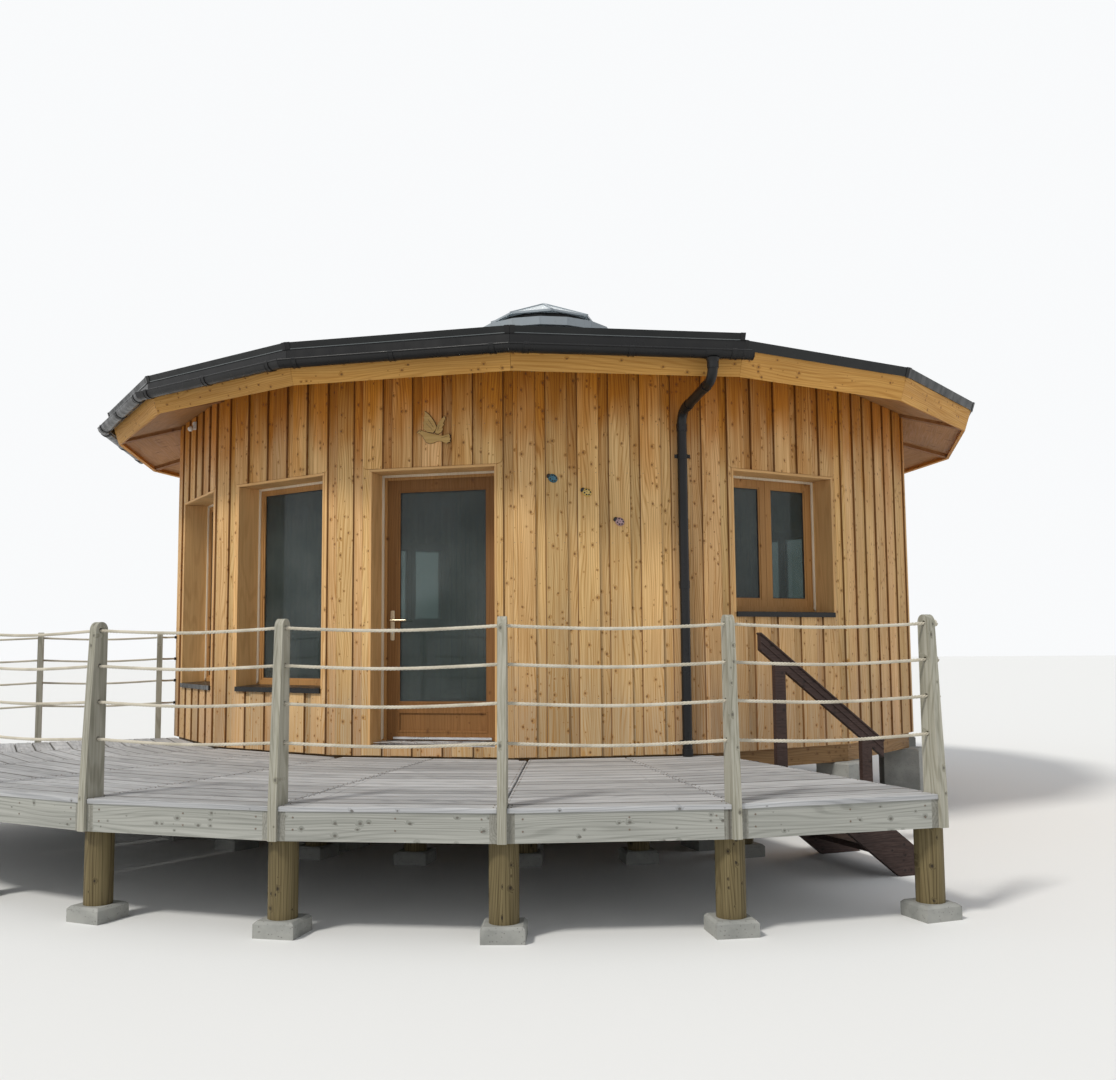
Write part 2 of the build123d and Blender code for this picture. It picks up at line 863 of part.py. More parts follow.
def lining_panels():
    """Soffit board outside the wall and ceiling board inside it, between two rafters."""
    top = lining_bottom + lining_thickness
    soffit = [
        slope_at(wall_apothem, lining_bottom),
        on_slope(fascia_thickness, lining_bottom),
        on_slope(fascia_thickness, top),
        slope_at(wall_apothem, top),
    ]
    ceiling = [
        slope_at(curb_apothem, lining_bottom),
        slope_at(inner_apothem, lining_bottom),
        slope_at(inner_apothem, top),
        slope_at(curb_apothem, top),
    ]
    return [facet_piece(soffit, rafter_width), facet_piece(ceiling, rafter_width)]


def roof_panel():
    """Structural roof board on the rafters."""
    profile = [
        slope_at(curb_apothem, rafter_top),
        on_slope(fascia_thickness, rafter_top),
        on_slope(fascia_thickness, fascia_depth),
        slope_at(curb_apothem, fascia_depth),
    ]
    return facet_piece(profile)


def membrane_piece():
    """Roofing sheet over one facet, from the curb to the fascia's face."""
    top = fascia_depth + membrane_thickness
    profile = [
        slope_at(curb_apothem, fascia_depth),
        on_slope(0, fascia_depth),
        on_slope(0, top),
        slope_at(curb_apothem, top),
    ]
    return facet_piece(profile)


def fascia_board():
    """Eave board, square to the slope."""
    profile = [
        on_slope(0, 0),
        on_slope(0, fascia_depth),
        on_slope(fascia_thickness, fascia_depth),
        on_slope(fascia_thickness, 0),
    ]
    return facet_piece(profile)


def trim_piece(rise, face):
    """Dark edge trim that stands on the roofing, its front lapping down in front of its seat."""
    seat = fascia_depth + membrane_thickness
    top = seat + rise
    lower = top - face
    profile = [
        on_slope(-trim_front, lower),
        on_slope(0, lower),
        on_slope(0, seat),
        on_slope(trim_width - trim_front, seat),
        on_slope(trim_width - trim_front, top - trim_front),
        on_slope(-trim_front, top),
    ]
    return facet_piece(profile)


def apron_piece():
    """Upright sheet that hangs from the trim in front of the fascia and drops behind the gutter."""
    inner_top = on_slope(-apron_gap, gutter_trim_lower())
    outer_top_height = inner_top[1] - apron_thickness * tan(pitch)
    profile = [
        inner_top,
        (inner_top[0] + apron_thickness, outer_top_height),
        (inner_top[0] + apron_thickness, inner_top[1] - apron_drop),
        (inner_top[0], inner_top[1] - apron_drop),
    ]
    return facet_piece(profile)


def curb_board():
    """One board of the ring that the rafters meet and the skylight stands on."""
    curb_top = skylight_levels()[0]
    outer = curb_apothem
    inner = curb_apothem - curb_width
    bottom = slope_at(outer, 0)[1]
    return facet_piece([(inner, bottom), (outer, bottom), (outer, curb_top), (inner, curb_top)])


def pane_fall():
    """Rise of the glazed cone for each unit towards the axis."""
    pane_foot, apex_height = skylight_levels()[1:]
    return (apex_height - pane_foot - pane_thickness) / pane_apothem


def cone(foot_apothem, foot_height):
    """Solid pyramid of the skylight's slope over a regular outline."""
    outline = RegularPolygon(foot_apothem, pane_sides, major_radius=False, rotation=180 / pane_sides)
    tip = RegularPolygon(cap_tip, pane_sides, major_radius=False, rotation=180 / pane_sides)
    tip_height = foot_height + (foot_apothem - cap_tip) * pane_fall()
    return loft([Pos(0, 0, foot_height) * outline, Pos(0, 0, tip_height) * tip], ruled=True)


def skirt_piece():
    """Apron over the curb with the drum that carries the panes, its top cut to their slope."""
    curb_top, pane_foot, apex_height = skylight_levels()
    inner = drum_apothem - drum_thickness
    profile = [
        (inner, curb_top),
        (skirt_apothem, curb_top),
        (skirt_apothem, curb_top + skirt_edge),
        (drum_apothem, curb_top + skirt_rise),
        (drum_apothem, apex_height),
        (inner, apex_height),
    ]
    lower = block((-skirt_apothem, skirt_apothem), (0, 2 * skirt_apothem), (0, pane_foot))
    return facet_piece(profile) & (lower + cone(pane_apothem, pane_foot))


def skylight_pane():
    """Triangular pane of the low glazed cone, its lower edge past the drum."""
    pane_foot, apex_height = skylight_levels()[1:]
    near = cap_apothem / 2
    near_top = apex_height - near * pane_fall()
    profile = [
        (pane_apothem, pane_foot),
        (pane_apothem, pane_foot + pane_thickness),
        (near, near_top),
        (near, near_top - pane_thickness),
    ]
    return facet_piece(profile, pane_joint, 360 / pane_sides)


def skylight_cap():
    """Small pointed cap over the panes' tips."""
    lower = skylight_levels()[2] - cap_apothem * pane_fall()
    outline = RegularPolygon(cap_apothem, pane_sides, major_radius=False, rotation=180 / pane_sides)
    under = cone(cap_apothem, lower)
    rim = Pos(0, 0, lower) * extrude(outline, amount=cap_thickness)
    return Pos(0, 0, cap_thickness) * under + rim - under


def decking():
    """The boarded top of each bay, notched round the planks."""
    plates = []
    wall_line = deck_wall_line()
    for k in range(deck_bays):
        angle = deck_first_angle + (k + 0.5) * deck_bay_angle
        wedge = turned(bay_wedge(decking_joint / 2), angle)
        plate = wedge & Pos(0, 0, deck_top - decking_thickness / 2) * Box(
            2 * ground_reach, 2 * ground_reach, decking_thickness
        )
        plate -= wall_line
        for seam in (seam_angles[k], seam_angles[k + 1]):
            plate -= plank_slot(seam)
        if k == 0:
            for radius in edge_plank_radii:
                plate -= edge_slot(radius)
        plates.append(plate)
    return plates


def radial_joists():
    """A joist on each side of every seam, the stanchions standing between them."""
    joists = []
    inner = wall_apothem / cos(half_step) + deck_frame_gap
    levels = (post_top, deck_underside)
    for k in range(deck_bays):
        angle = deck_first_angle + (k + 0.5) * deck_bay_angle
        inside = turned(bay_wedge(seam_offset), angle)
        core = turned(bay_wedge(seam_offset + deck_joist_width), angle)
        band = block((-ground_reach / 2, ground_reach / 2), (inner, ground_reach), levels)
        joists.append((inside & turned(band, angle)) - core)
    return joists


def cross_members():
    """Rim board, two noggings and an inner ledger between the joists of each bay."""
    members = []
    inner = wall_apothem / cos(half_step) + deck_frame_gap
    levels = (post_top, deck_underside)
    spacing = (outer_chord - deck_joist_width - inner) / cross_rows
    for k in range(deck_bays):
        angle = deck_first_angle + (k + 0.5) * deck_bay_angle
        core = turned(bay_wedge(seam_offset + deck_joist_width), angle)
        for row in range(cross_rows + 1):
            start = inner + row * spacing
            band = block((-ground_reach / 2, ground_reach / 2), (start, start + deck_joist_width), levels)
            members.append(core & turned(band, angle))
    return members


def post_places():
    """Plan places of the deck's round posts, outer row and inner row."""
    outer = deck_radius - post_inset
    return [(outer, angle) for angle in seam_angles] + [(inner_post_radius, angle) for angle in seam_angles]


def deck_posts():
    """Round timber posts under the seams."""
    height = post_top - pad_height
    post = Pos(0, 0, pad_height + height / 2) * Cylinder(post_diameter / 2, height)
    return [turned(Pos(0, -radius, 0) * post, angle) for radius, angle in post_places()]


def deck_pads():
    """Concrete pads under the round posts."""
    pad = Pos(0, 0, pad_height / 2) * Box(pad_width, pad_width, pad_height)
    pad = chamfer(pad.faces().sort_by(Axis.Z)[-1].edges(), pier_chamfer)
    return [turned(Pos(0, -radius, 0) * pad, angle) for radius, angle in post_places()]


def stanchions():
    """Planks at every seam's outer end and outside the deck's left edge."""
    inner = plank_inner_radius()
    plank = Pos(0, -inner, 0) * stanchion(rope_setback)
    planks = [turned(plank, angle) for angle in seam_angles]
    side_plank = Rot(0, 0, -90) * stanchion(seam_offset + rope_side())
    for radius in edge_plank_radii:
        planks.append(turned(Pos(seam_offset, -radius, 0) * side_plank, deck_first_angle))
    return planks


def stair_board(profile, inner_radius, thickness):
    """Board drawn as (run, height) points and standing at a distance from the axis."""
    plane = Plane(origin=(0, -inner_radius, 0), x_dir=(1, 0, 0), z_dir=(0, -1, 0))
    face = make_face(plane * Polyline(*profile, close=True))
    return extrude(face, amount=thickness, dir=(0, -1, 0))


def treads():
    """Treads housed in the stringers, the deck being the last step."""
    reach = (
        stair_inner_radius + stringer_width - housing_depth,
        stair_outer_radius - stringer_width + housing_depth,
    )
    boards = []
    for k in range(1, stair_risers):
        start = stair_deck_gap + (k - 1) * tread_going
        level = deck_top - k * riser
        boards.append(block((start, start + tread_depth), reach, (level - tread_thickness, level)))
    return boards


def stringers():
    """Two raking boards housed for the treads, plumb against the deck's end joist and at the ground."""
    slope = riser / tread_going
    plumb = stringer_depth * (1 + slope**2) ** 0.5
    top_line = deck_top + stringer_rise
    level_end = (top_line - deck_top + stair_deck_gap) / slope
    foot = (top_line - plumb) / slope
    profile = [
        (-seam_offset, deck_underside - stair_deck_gap),
        (stair_deck_gap, deck_underside - stair_deck_gap),
        (stair_deck_gap, deck_top - stair_deck_gap),
        (level_end, deck_top - stair_deck_gap),
        (stringer_run, top_line - stringer_run * slope),
        (stringer_run, 0),
        (foot, 0),
        (-seam_offset, top_line - plumb + seam_offset * slope),
    ]
    boards = []
    for radius in (stair_inner_radius, stair_outer_radius - stringer_width):
        board = stair_board(profile, radius, stringer_width)
        for tread in treads():
            board -= tread
        boards.append(board)
    return boards


def handrail_lines():
    """Height of the handrail's top line over the deck's end, and its plumb depth."""
    slope = riser / tread_going
    top = deck_top + handrail_height + handrail_start * slope
    return top, handrail_depth * (1 + slope**2) ** 0.5


def handrail():
    """Raking rail on the stair's wall side."""
    slope = riser / tread_going
    top, plumb = handrail_lines()
    end = handrail_start + handrail_run
    profile = [
        (handrail_start, top - plumb - handrail_start * slope),
        (end, top - plumb - end * slope),
        (end, top - end * slope),
        (handrail_start, top - handrail_start * slope),
    ]
    return stair_board(profile, stair_inner_radius - handrail_post_thickness, handrail_post_thickness)


def handrail_posts():
    """Two posts on the inner stringer's face, cut to the rail's underside."""
    slope = riser / tread_going
    top, plumb = handrail_lines()
    posts = []
    for centre in handrail_posts_at:
        low_x = centre - handrail_post_width / 2
        high_x = centre + handrail_post_width / 2
        foot = max(deck_top + stringer_rise - centre * slope - handrail_post_tail, 0)
        profile = [
            (low_x, foot),
            (high_x, foot),
            (high_x, top - plumb - high_x * slope),
            (low_x, top - plumb - low_x * slope),
        ]
        inner = stair_inner_radius - handrail_post_thickness
        posts.append(stair_board(profile, inner, handrail_post_thickness))
    return posts


def build_nodes():
    """Every node's name and its solids."""
    front_sides, front_head, front_sill = front_wall_parts()
    soffit_board, ceiling_board = lining_panels()
    plain = [k for k in range(1, sides) if k not in tall_window_facets + small_window_facets]
    tall = window_wall(tall_window_width, tall_window_sill)
    small = window_wall(small_window_width, small_window_sill)
    door_lining = lining_boards(door_width, floor_top)
    tall_lining = lining_boards(tall_window_width, tall_window_sill)
    small_lining = lining_boards(small_window_width, small_window_sill)
    tall_frame = window_frame(tall_window_width, tall_window_sill, fixed_frame_face)
    small_frame = window_frame(small_window_width, small_window_sill, window_frame_face)
    tall_sill = window_sill(tall_window_width, tall_window_sill)
    small_sill = window_sill(small_window_width, small_window_sill)
    hinges_fixed, hinges_moving = hinge_parts()
    pane = skylight_pane()
    plain_eaves = [k for k in range(sides) if k not in gutter_facets]
    plain_trims = repeated(trim_piece(trim_rise, trim_face), plain_eaves)
    gutter_trims = repeated(trim_piece(gutter_trim_rise, gutter_trim_face), gutter_facets)
    nodes = {
        "concrete_piers": piers(),
        "rim_beams": repeated(rim_beam(), range(sides)),
        "floor_hub": [floor_hub()],
        "floor_joists": repeated(floor_joist(), range(sides)),
        "floor": [floor_plate()],
        "front_wall_sides": [front_sides],
        "front_wall_head": [front_head],
        "door_sill_wall": [front_sill],
        "window_walls": repeated(tall, tall_window_facets) + repeated(small, small_window_facets),
        "plain_walls": repeated(wall_panel(), plain),
        "rafters": [turned(rafter(), step * (k + 0.5)) for k in range(sides)],
        "roof_panels": repeated(roof_panel(), range(sides)),
        "roof_membrane": repeated(membrane_piece(), range(sides)),
        "fascia_boards": repeated(fascia_board(), range(sides)),
        "edge_trim": plain_trims + gutter_trims,
        "gutter_apron": repeated(apron_piece(), gutter_facets),
        "gutter": repeated(gutter_run(), gutter_facets),
        "downpipe": [turned(downpipe(), step)],
        "downpipe_clips": [turned(downpipe_clip(height), step) for height in clip_heights()],
        "skylight_curb": repeated(curb_board(), range(sides)),
        "skylight_skirt": repeated(skirt_piece(), range(sides)),
        "skylight_panes": [turned(pane, k * 360 / pane_sides) for k in range(pane_sides)],
        "skylight_cap": [skylight_cap()],
        "soffit_boards": repeated(soffit_board, range(sides)),
        "ceiling_boards": repeated(ceiling_board, range(sides)),
        "door_lining": door_lining,
        "window_linings": spread(tall_lining, tall_window_facets) + spread(small_lining, small_window_facets),
        "window_frames": repeated(tall_frame, tall_window_facets) + repeated(small_frame, small_window_facets),
        "window_sashes": spread(sashes(), small_window_facets),
        "window_glass": repeated(fixed_pane(), tall_window_facets) + spread(sash_panes(), small_window_facets),
        "window_sills": repeated(tall_sill, tall_window_facets) + repeated(small_sill, small_window_facets),
        "door_frame": door_frame(),
        "door_threshold": [threshold()],
        "door_leaf": [door_leaf()],
        "door_glass": [door_glass()],
        "door_hinge_pins": hinges_fixed,
        "door_hinge_sleeves": hinges_moving,
        "door_handle_plates": handle_plates(),
        "door_lever": [lever()],
        "deck_pads": deck_pads(),
        "deck_posts": deck_posts(),
        "deck_joists": radial_joists(),
        "deck_cross_members": cross_members(),
        "decking": decking(),
        "stanchions": stanchions(),
        "rope_eyes": [rope_eye(height) for height in rope_heights],
        "stair_stringers": [turned(board, deck_end_angle) for board in stringers()],
        "stair_treads": [turned(board, deck_end_angle) for board in treads()],
        "handrail_posts": [turned(post, deck_end_angle) for post in handrail_posts()],
        "handrail": [turned(handrail(), deck_end_angle)],
    }
    for number, height in enumerate(rope_heights, start=1):
        nodes[f"rope_{number}"] = [rope(height)]
    return nodes


def main():
    """Build and write every node."""
    os.makedirs("parts", exist_ok=True)
    for name, solids in build_nodes().items():
        node(name, solids)


main()
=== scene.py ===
import math
import random

import bmesh
import bpy
from mathutils import Matrix, Vector


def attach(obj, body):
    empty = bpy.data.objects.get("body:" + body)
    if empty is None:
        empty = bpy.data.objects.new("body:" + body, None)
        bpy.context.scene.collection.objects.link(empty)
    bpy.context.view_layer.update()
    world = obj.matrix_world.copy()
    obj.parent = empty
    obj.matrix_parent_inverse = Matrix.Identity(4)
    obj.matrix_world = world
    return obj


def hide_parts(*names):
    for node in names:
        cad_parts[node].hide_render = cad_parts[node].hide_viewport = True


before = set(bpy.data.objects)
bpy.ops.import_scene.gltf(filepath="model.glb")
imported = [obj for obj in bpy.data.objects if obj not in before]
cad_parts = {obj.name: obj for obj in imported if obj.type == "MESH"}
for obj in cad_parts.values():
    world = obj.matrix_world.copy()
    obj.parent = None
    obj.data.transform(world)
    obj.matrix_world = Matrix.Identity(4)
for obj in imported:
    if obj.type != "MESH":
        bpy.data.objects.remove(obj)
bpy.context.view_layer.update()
draw = random.Random(16)

# Sizes of the cabin, in metres and radians
SIDES = 16
STEP = math.tau / SIDES
FACET = 1.5
WALL = FACET / 2 / math.tan(STEP / 2)
SIDING_BOTTOM = 0.72
SIDING_TOP = 3.772
FLOOR_TOP = 0.8
HEAD = 2.96
LINING = 0.02
BAYS = 8
BAY = math.radians(11.25)
DECK_START = math.radians(-55.25)
DECK_TOP = 0.71
DECK_RADIUS = 6.44
DECK_CHORD = DECK_RADIUS * math.cos(BAY / 2)
DECK_BOARD = 0.14
DECK_GAP = 0.007
DECK_OVERHANG = 0.007
DECK_EDGE = DECK_CHORD + DECK_OVERHANG - 30 * (DECK_BOARD + DECK_GAP) - DECK_BOARD
SLOPE = math.radians(17)
EAVE = WALL + 0.576
EAVE_HEIGHT = 3.565
GUTTER_SIDES = (1, 0, 15, 14, 13)
GUTTER_OUT = 4.48795
GUTTER_Z = 3.71626
PIPE_ALONG = 0.545
PIPE_OUT = 3.8385
OUTLET_ALONG = 0.616
CURB_TOP = 4.957
PANE_FOOT = 5.16
APEX = 5.407
PANE_SIDES = 8
PANE_EDGE = 0.55


# Shader groups


class Graph:
    """Nodes of one material or group, wired as they are added."""

    def __init__(self, tree):
        self.tree = tree

    def feed(self, socket, value):
        if isinstance(value, bpy.types.NodeSocket):
            self.tree.links.new(value, socket)
        elif socket.type == "RGBA":
            socket.default_value = (*value, 1)
        else:
            socket.default_value = value

    def wire(self, node, **sockets):
        for name, value in sockets.items():
            self.feed(node.inputs[name.replace("_", " ")], value)

    def add(self, kind, settings=None, **sockets):
        made = self.tree.nodes.new(kind)
        for name, value in (settings or {}).items():
            setattr(made, name, value)
        self.wire(made, **sockets)
        return made

    def pair(self, kind, operation, first, second):
        made = self.add(kind, {"operation": operation})
        self.feed(made.inputs[0], first)
        self.feed(made.inputs[1], second)
        return made

    def math(self, operation, first, second=0.0, clamp=False):
        made = self.pair("ShaderNodeMath", operation, first, second)
        made.use_clamp = clamp
        return made.outputs[0]

    def times(self, first, second):
        return self.math("MULTIPLY", first, second)

    def plus(self, first, second):
        return self.math("ADD", first, second)

    def minus(self, first, second):
        return self.math("SUBTRACT", first, second)

    def vector(self, x, y, z):
        return self.add("ShaderNodeCombineXYZ", X=x, Y=y, Z=z).outputs[0]

    def stretch(self, vector, scale):
        return self.pair("ShaderNodeVectorMath", "MULTIPLY", vector, scale).outputs[0]

    def shift(self, vector, offset):
        return self.pair("ShaderNodeVectorMath", "ADD", vector, offset).outputs[0]

    def noise(self, vector, scale=1.0, detail=2.0, roughness=0.5):
        made = self.add("ShaderNodeTexNoise", Vector=vector, Scale=scale, Detail=detail, Roughness=roughness)
        return made.outputs["Fac"]

    def ramp(self, value, low, high, start=0.0, end=1.0):
        made = self.add("ShaderNodeMapRange", {"interpolation_type": "SMOOTHSTEP"}, Value=value)
        self.wire(made, From_Min=low, From_Max=high, To_Min=start, To_Max=end)
        return made.outputs[0]

    def mix(self, share, first, second, blend="MIX"):
        made = self.add("ShaderNodeMix", {"data_type": "RGBA", "blend_type": blend}, Factor=share)
        self.feed(made.inputs[6], first)
        self.feed(made.inputs[7], second)
        return made.outputs[2]

    def toned(self, colour, level):
        """The colour times a grey level."""
        grey = self.add("ShaderNodeCombineColor", Red=level, Green=level, Blue=level)
        return self.mix(1.0, colour, grey.outputs[0], "MULTIPLY")

    def place(self):
        return self.add("ShaderNodeTexCoord").outputs["Object"]

    def bump(self, height, depth):
        return self.add("ShaderNodeBump", Strength=1.0, Distance=depth, Height=height).outputs[0]

    def group(self, tree, **sockets):
        return self.add("ShaderNodeGroup", {"node_tree": tree}, **sockets).outputs


def new_group(name, inputs, outputs):
    """Empty shader group with these sockets, and its graph, input sockets and output node."""
    tree = bpy.data.node_groups.new(name, "ShaderNodeTree")
    for label, value in inputs.items():
        kind = "NodeSocketFloat" if isinstance(value, float) else "NodeSocketColor"
        tree.interface.new_socket(name=label, in_out="INPUT", socket_type=kind).default_value = value
    for label in outputs:
        kind = "NodeSocketColor" if label == "Color" else "NodeSocketFloat"
        tree.interface.new_socket(name=label, in_out="OUTPUT", socket_type=kind)
    source = tree.nodes.new("NodeGroupInput")
    return tree, Graph(tree), source.outputs, tree.nodes.new("NodeGroupOutput")


def ring_frame():
    """Place on a ring of equal flat sides: along the side, up, out from the axis, and the side's number."""
    sizes = {"Step": STEP, "Start": 0.0}
    tree, graph, given, result = new_group("ring frame", sizes, ("Along", "Up", "Out", "Side"))
    split = graph.add("ShaderNodeSeparateXYZ", Vector=graph.place()).outputs
    angle = graph.math("ARCTAN2", split[0], graph.times(split[1], -1.0))
    turn = graph.math("DIVIDE", graph.minus(angle, given["Start"]), given["Step"])
    number = graph.math("ROUND", turn)
    rest = graph.times(graph.minus(turn, number), given["Step"])
    flat = graph.vector(split[0], split[1], 0.0)
    reach = graph.add("ShaderNodeVectorMath", {"operation": "LENGTH"}, Vector=flat).outputs["Value"]
    along = graph.times(reach, graph.math("SINE", rest))
    out = graph.times(reach, graph.math("COSINE", rest))
    graph.wire(result, Along=along, Up=split[2], Out=out, Side=number)
    return tree


# Scales of the grain's noises per metre, across, along and through the wood
SLOW_TONE = (3.0, 0.55, 3.0)
RING_FIELD = (6.0, 0.75, 6.0)
STREAKS = (58.0, 1.1, 58.0)
LINES = (190.0, 2.2, 190.0)
FIBRES = (620.0, 16.0, 620.0)
RING_RATE = 330.0
RING_WANDER = 62.0
KNOT_SPREAD = (5.8, 4.4, 1.0)
KNOT_SIZES = (0.07, 0.32)
KNOT_CORE = 0.4
KNOT_SWELL = 2.4


def timber_grain():
    """Colour, roughness and relief of sawn timber: across, along and through the grain in metres."""
    inputs = {"Across": 0.0, "Along": 0.0, "Through": 0.0, "Seed": 0.0, "Knots": 0.5, "Contrast": 0.6}
    inputs |= {"Light": (0.6, 0.4, 0.2, 1), "Dark": (0.3, 0.15, 0.05, 1), "Knot": (0.12, 0.05, 0.02, 1)}
    tree, graph, given, result = new_group("timber grain", inputs, ("Color", "Roughness", "Height"))
    offset = graph.times(given["Seed"], 17.3)
    along = graph.plus(given["Along"], offset)
    place = graph.vector(given["Across"], along, graph.plus(given["Through"], offset))
    spread = graph.stretch(place, KNOT_SPREAD)
    cells = graph.add("ShaderNodeTexVoronoi", {"voronoi_dimensions": "2D"}, Vector=spread, Randomness=0.9)
    near = cells.outputs["Distance"]
    drawn = graph.add("ShaderNodeSeparateColor", Color=cells.outputs["Color"]).outputs
    present = graph.math("LESS_THAN", drawn[0], given["Knots"])
    size = graph.ramp(drawn[1], 0.0, 1.0, *KNOT_SIZES)
    knot = graph.times(graph.ramp(near, size, graph.times(size, KNOT_CORE)), present)
    swell = graph.times(graph.ramp(near, graph.times(size, KNOT_SWELL), size), present)
    warp = graph.noise(graph.stretch(place, (5.0, 0.7, 5.0)))
    bend = graph.plus(graph.times(warp, 0.07), graph.times(swell, 0.022))
    moved = graph.shift(place, graph.vector(bend, 0.0, 0.0))
    field = graph.noise(graph.stretch(moved, RING_FIELD), 1.0, 1.0)
    shifted = graph.add("ShaderNodeSeparateXYZ", Vector=moved).outputs[0]
    wander = graph.times(field, RING_WANDER)
    phase = graph.plus(graph.times(shifted, RING_RATE), wander)
    rings = graph.ramp(graph.math("SINE", phase), -0.1, 1.0)
    streak = graph.noise(graph.stretch(moved, STREAKS), 1.0, 3.0, 0.6)
    lines = graph.noise(graph.stretch(moved, LINES))
    fibre = graph.noise(graph.stretch(moved, FIBRES), 1.0, 1.0)
    slow = graph.noise(graph.stretch(place, SLOW_TONE))
    bands = graph.plus(graph.ramp(streak, 0.38, 0.64, 0.0, 0.36), graph.times(rings, 0.44))
    figure = graph.plus(bands, graph.ramp(lines, 0.36, 0.66, 0.0, 0.3))
    share = graph.math("MULTIPLY", figure, given["Contrast"], clamp=True)
    grain = graph.mix(share, given["Light"], given["Dark"])
    toned = graph.toned(grain, graph.ramp(slow, 0.25, 0.75, 0.86, 1.14))
    ringed = graph.mix(graph.times(swell, 0.5), toned, given["Dark"])
    relief = graph.plus(graph.times(lines, 0.7), graph.times(fibre, 0.3))
    graph.wire(
        result,
        Color=graph.mix(graph.times(knot, 0.8), ringed, given["Knot"]),
        Roughness=graph.ramp(lines, 0.3, 0.7, 0.55, 0.78),
        Height=graph.minus(relief, graph.times(knot, 0.4)),
    )
    return tree


def board_joints():
    """How near a place is to a joint, for boards that repeat: place, first joint and sizes in metres."""
    inputs = {"Place": 0.0, "First": 0.0, "Pitch": 0.25, "Width": 0.17, "Reach": 0.006}
    tree, graph, given, result = new_group("board joints", inputs, ("Board", "Narrow", "Joint"))
    measured = graph.math("DIVIDE", graph.minus(given["Place"], given["First"]), given["Pitch"])
    row = graph.math("FLOOR", measured)
    inside = graph.times(graph.minus(measured, row), given["Pitch"])
    past = graph.minus(inside, given["Width"])
    narrow = graph.math("GREATER_THAN", past, 0.0)
    ends = graph.math("MINIMUM", inside, graph.minus(given["Pitch"], inside))
    near = graph.math("MINIMUM", ends, graph.math("ABSOLUTE", past))
    board = graph.plus(row, graph.times(narrow, 0.5))
    graph.wire(result, Board=board, Narrow=narrow, Joint=graph.ramp(near, 0.0, given["Reach"], 1.0, 0.0))
    return tree


DUST_COLOUR = (0.33, 0.31, 0.28)


def worn_coat():
    """Colour, roughness and relief of coated or bare sheet with faint rubs and dust."""
    inputs = {"Coat": (0.3, 0.3, 0.3, 1), "Dust": 0.15, "Smoothest": 0.26, "Roughest": 0.5}
    tree, graph, given, result = new_group("worn coat", inputs, ("Color", "Roughness", "Height"))
    place = graph.place()
    rub = graph.noise(graph.stretch(place, (9.0, 9.0, 3.0)), 1.0, 4.0, 0.6)
    dusty = graph.ramp(graph.noise(place, 4.0, 3.0), 0.45, 0.8, 0.0, given["Dust"])
    graph.wire(
        result,
        Color=graph.mix(dusty, given["Coat"], DUST_COLOUR),
        Roughness=graph.ramp(rub, 0.3, 0.7, given["Smoothest"], given["Roughest"]),
        Height=graph.noise(place, 160.0),
    )
    return tree


def pane_wave():
    """Tint and relief of a pane with slight clouding and a slow waviness."""
    tree, graph, given, result = new_group("pane wave", {"Tint": (0.8, 0.9, 0.9, 1)}, ("Color", "Height"))
    wave = graph.noise(graph.place(), 1.8)
    cloudy = graph.ramp(wave, 0.3, 0.7, 0.0, 0.3)
    graph.wire(result, Color=graph.mix(cloudy, given["Tint"], (0.6, 0.66, 0.66)), Height=wave)
    return tree


RING = ring_frame()
GRAIN = timber_grain()
JOINTS = board_joints()
COAT = worn_coat()
PANE = pane_wave()


# Materials


def new_material(name):
    """Material with a Principled shader, and its graph and shader."""
    material = bpy.data.materials.new(name)
    material.use_nodes = True
    return material, Graph(material.node_tree), material.node_tree.nodes["Principled BSDF"]


def timber(name, light, dark, knot, grain, knots, contrast=0.7, ring="facet", depth=0.0008, rows=None):
    """Sawn timber whose grain runs up, along its side or out from the axis; rows get painted shade along
    their joints.
    """
    material, graph, shader = new_material(name)
    step, start = (STEP, 0.0) if ring == "facet" else (BAY, DECK_START + BAY / 2)
    place = graph.group(RING, Step=step, Start=start)
    along, up, out = place["Along"], place["Up"], place["Out"]
    turned = {"up": (along, up, out), "along": (up, along, out), "out": (along, out, up)}[grain]
    lay = dict(zip(("Across", "Along", "Through"), turned))
    tones = {"Light": light, "Dark": dark, "Knot": knot, "Knots": knots, "Contrast": contrast}
    made = graph.group(GRAIN, Seed=place["Side"], **lay, **tones)
    colour = made["Color"]
    if rows:
        first, pitch, width, limit = rows
        # Painted shade of the gaps between rows: each board darkens towards the knot colour near its joints,
        # fading out at the outer face.
        joints = graph.group(JOINTS, Place=out, First=first, Pitch=pitch, Width=width, Reach=0.011)
        code = graph.vector(joints["Board"], place["Side"], 0.0)
        white = graph.add("ShaderNodeTexWhiteNoise", {"noise_dimensions": "3D"}, Vector=code)
        toned = graph.toned(colour, graph.ramp(white.outputs["Value"], 0.0, 1.0, 0.86, 1.12))
        inside = graph.ramp(out, limit, limit - 0.006, 0.0, 0.75)
        colour = graph.mix(graph.times(joints["Joint"], inside), toned, knot)
    normal = graph.bump(made["Height"], depth)
    graph.wire(shader, Base_Color=colour, Roughness=made["Roughness"], Specular_IOR_Level=0.3, Normal=normal)
    return material


# One wide and one narrow board of the cladding, and where the first one starts
PITCH = 0.25
WIDE = 0.17
FIRST_BOARD = -0.784
# Heights between which the boards go from orange to pale, and from there to worn; the darker orange under the
# eaves is partly the wood's own unweathered colour and partly painted shade of the eaves
EAVE_SHADE_AND_FADE = (3.62, 2.8)
WEAR = (2.1, 0.75)
ORANGE_LIGHT = (0.56, 0.225, 0.022)
ORANGE_DARK = (0.30, 0.09, 0.006)
PALE_LIGHT = (0.80, 0.53, 0.25)
PALE_DARK = (0.47, 0.235, 0.065)
WORN_LIGHT = (0.50, 0.385, 0.26)
SEAM_SHADE_AND_DIRT = (0.13, 0.05, 0.012)


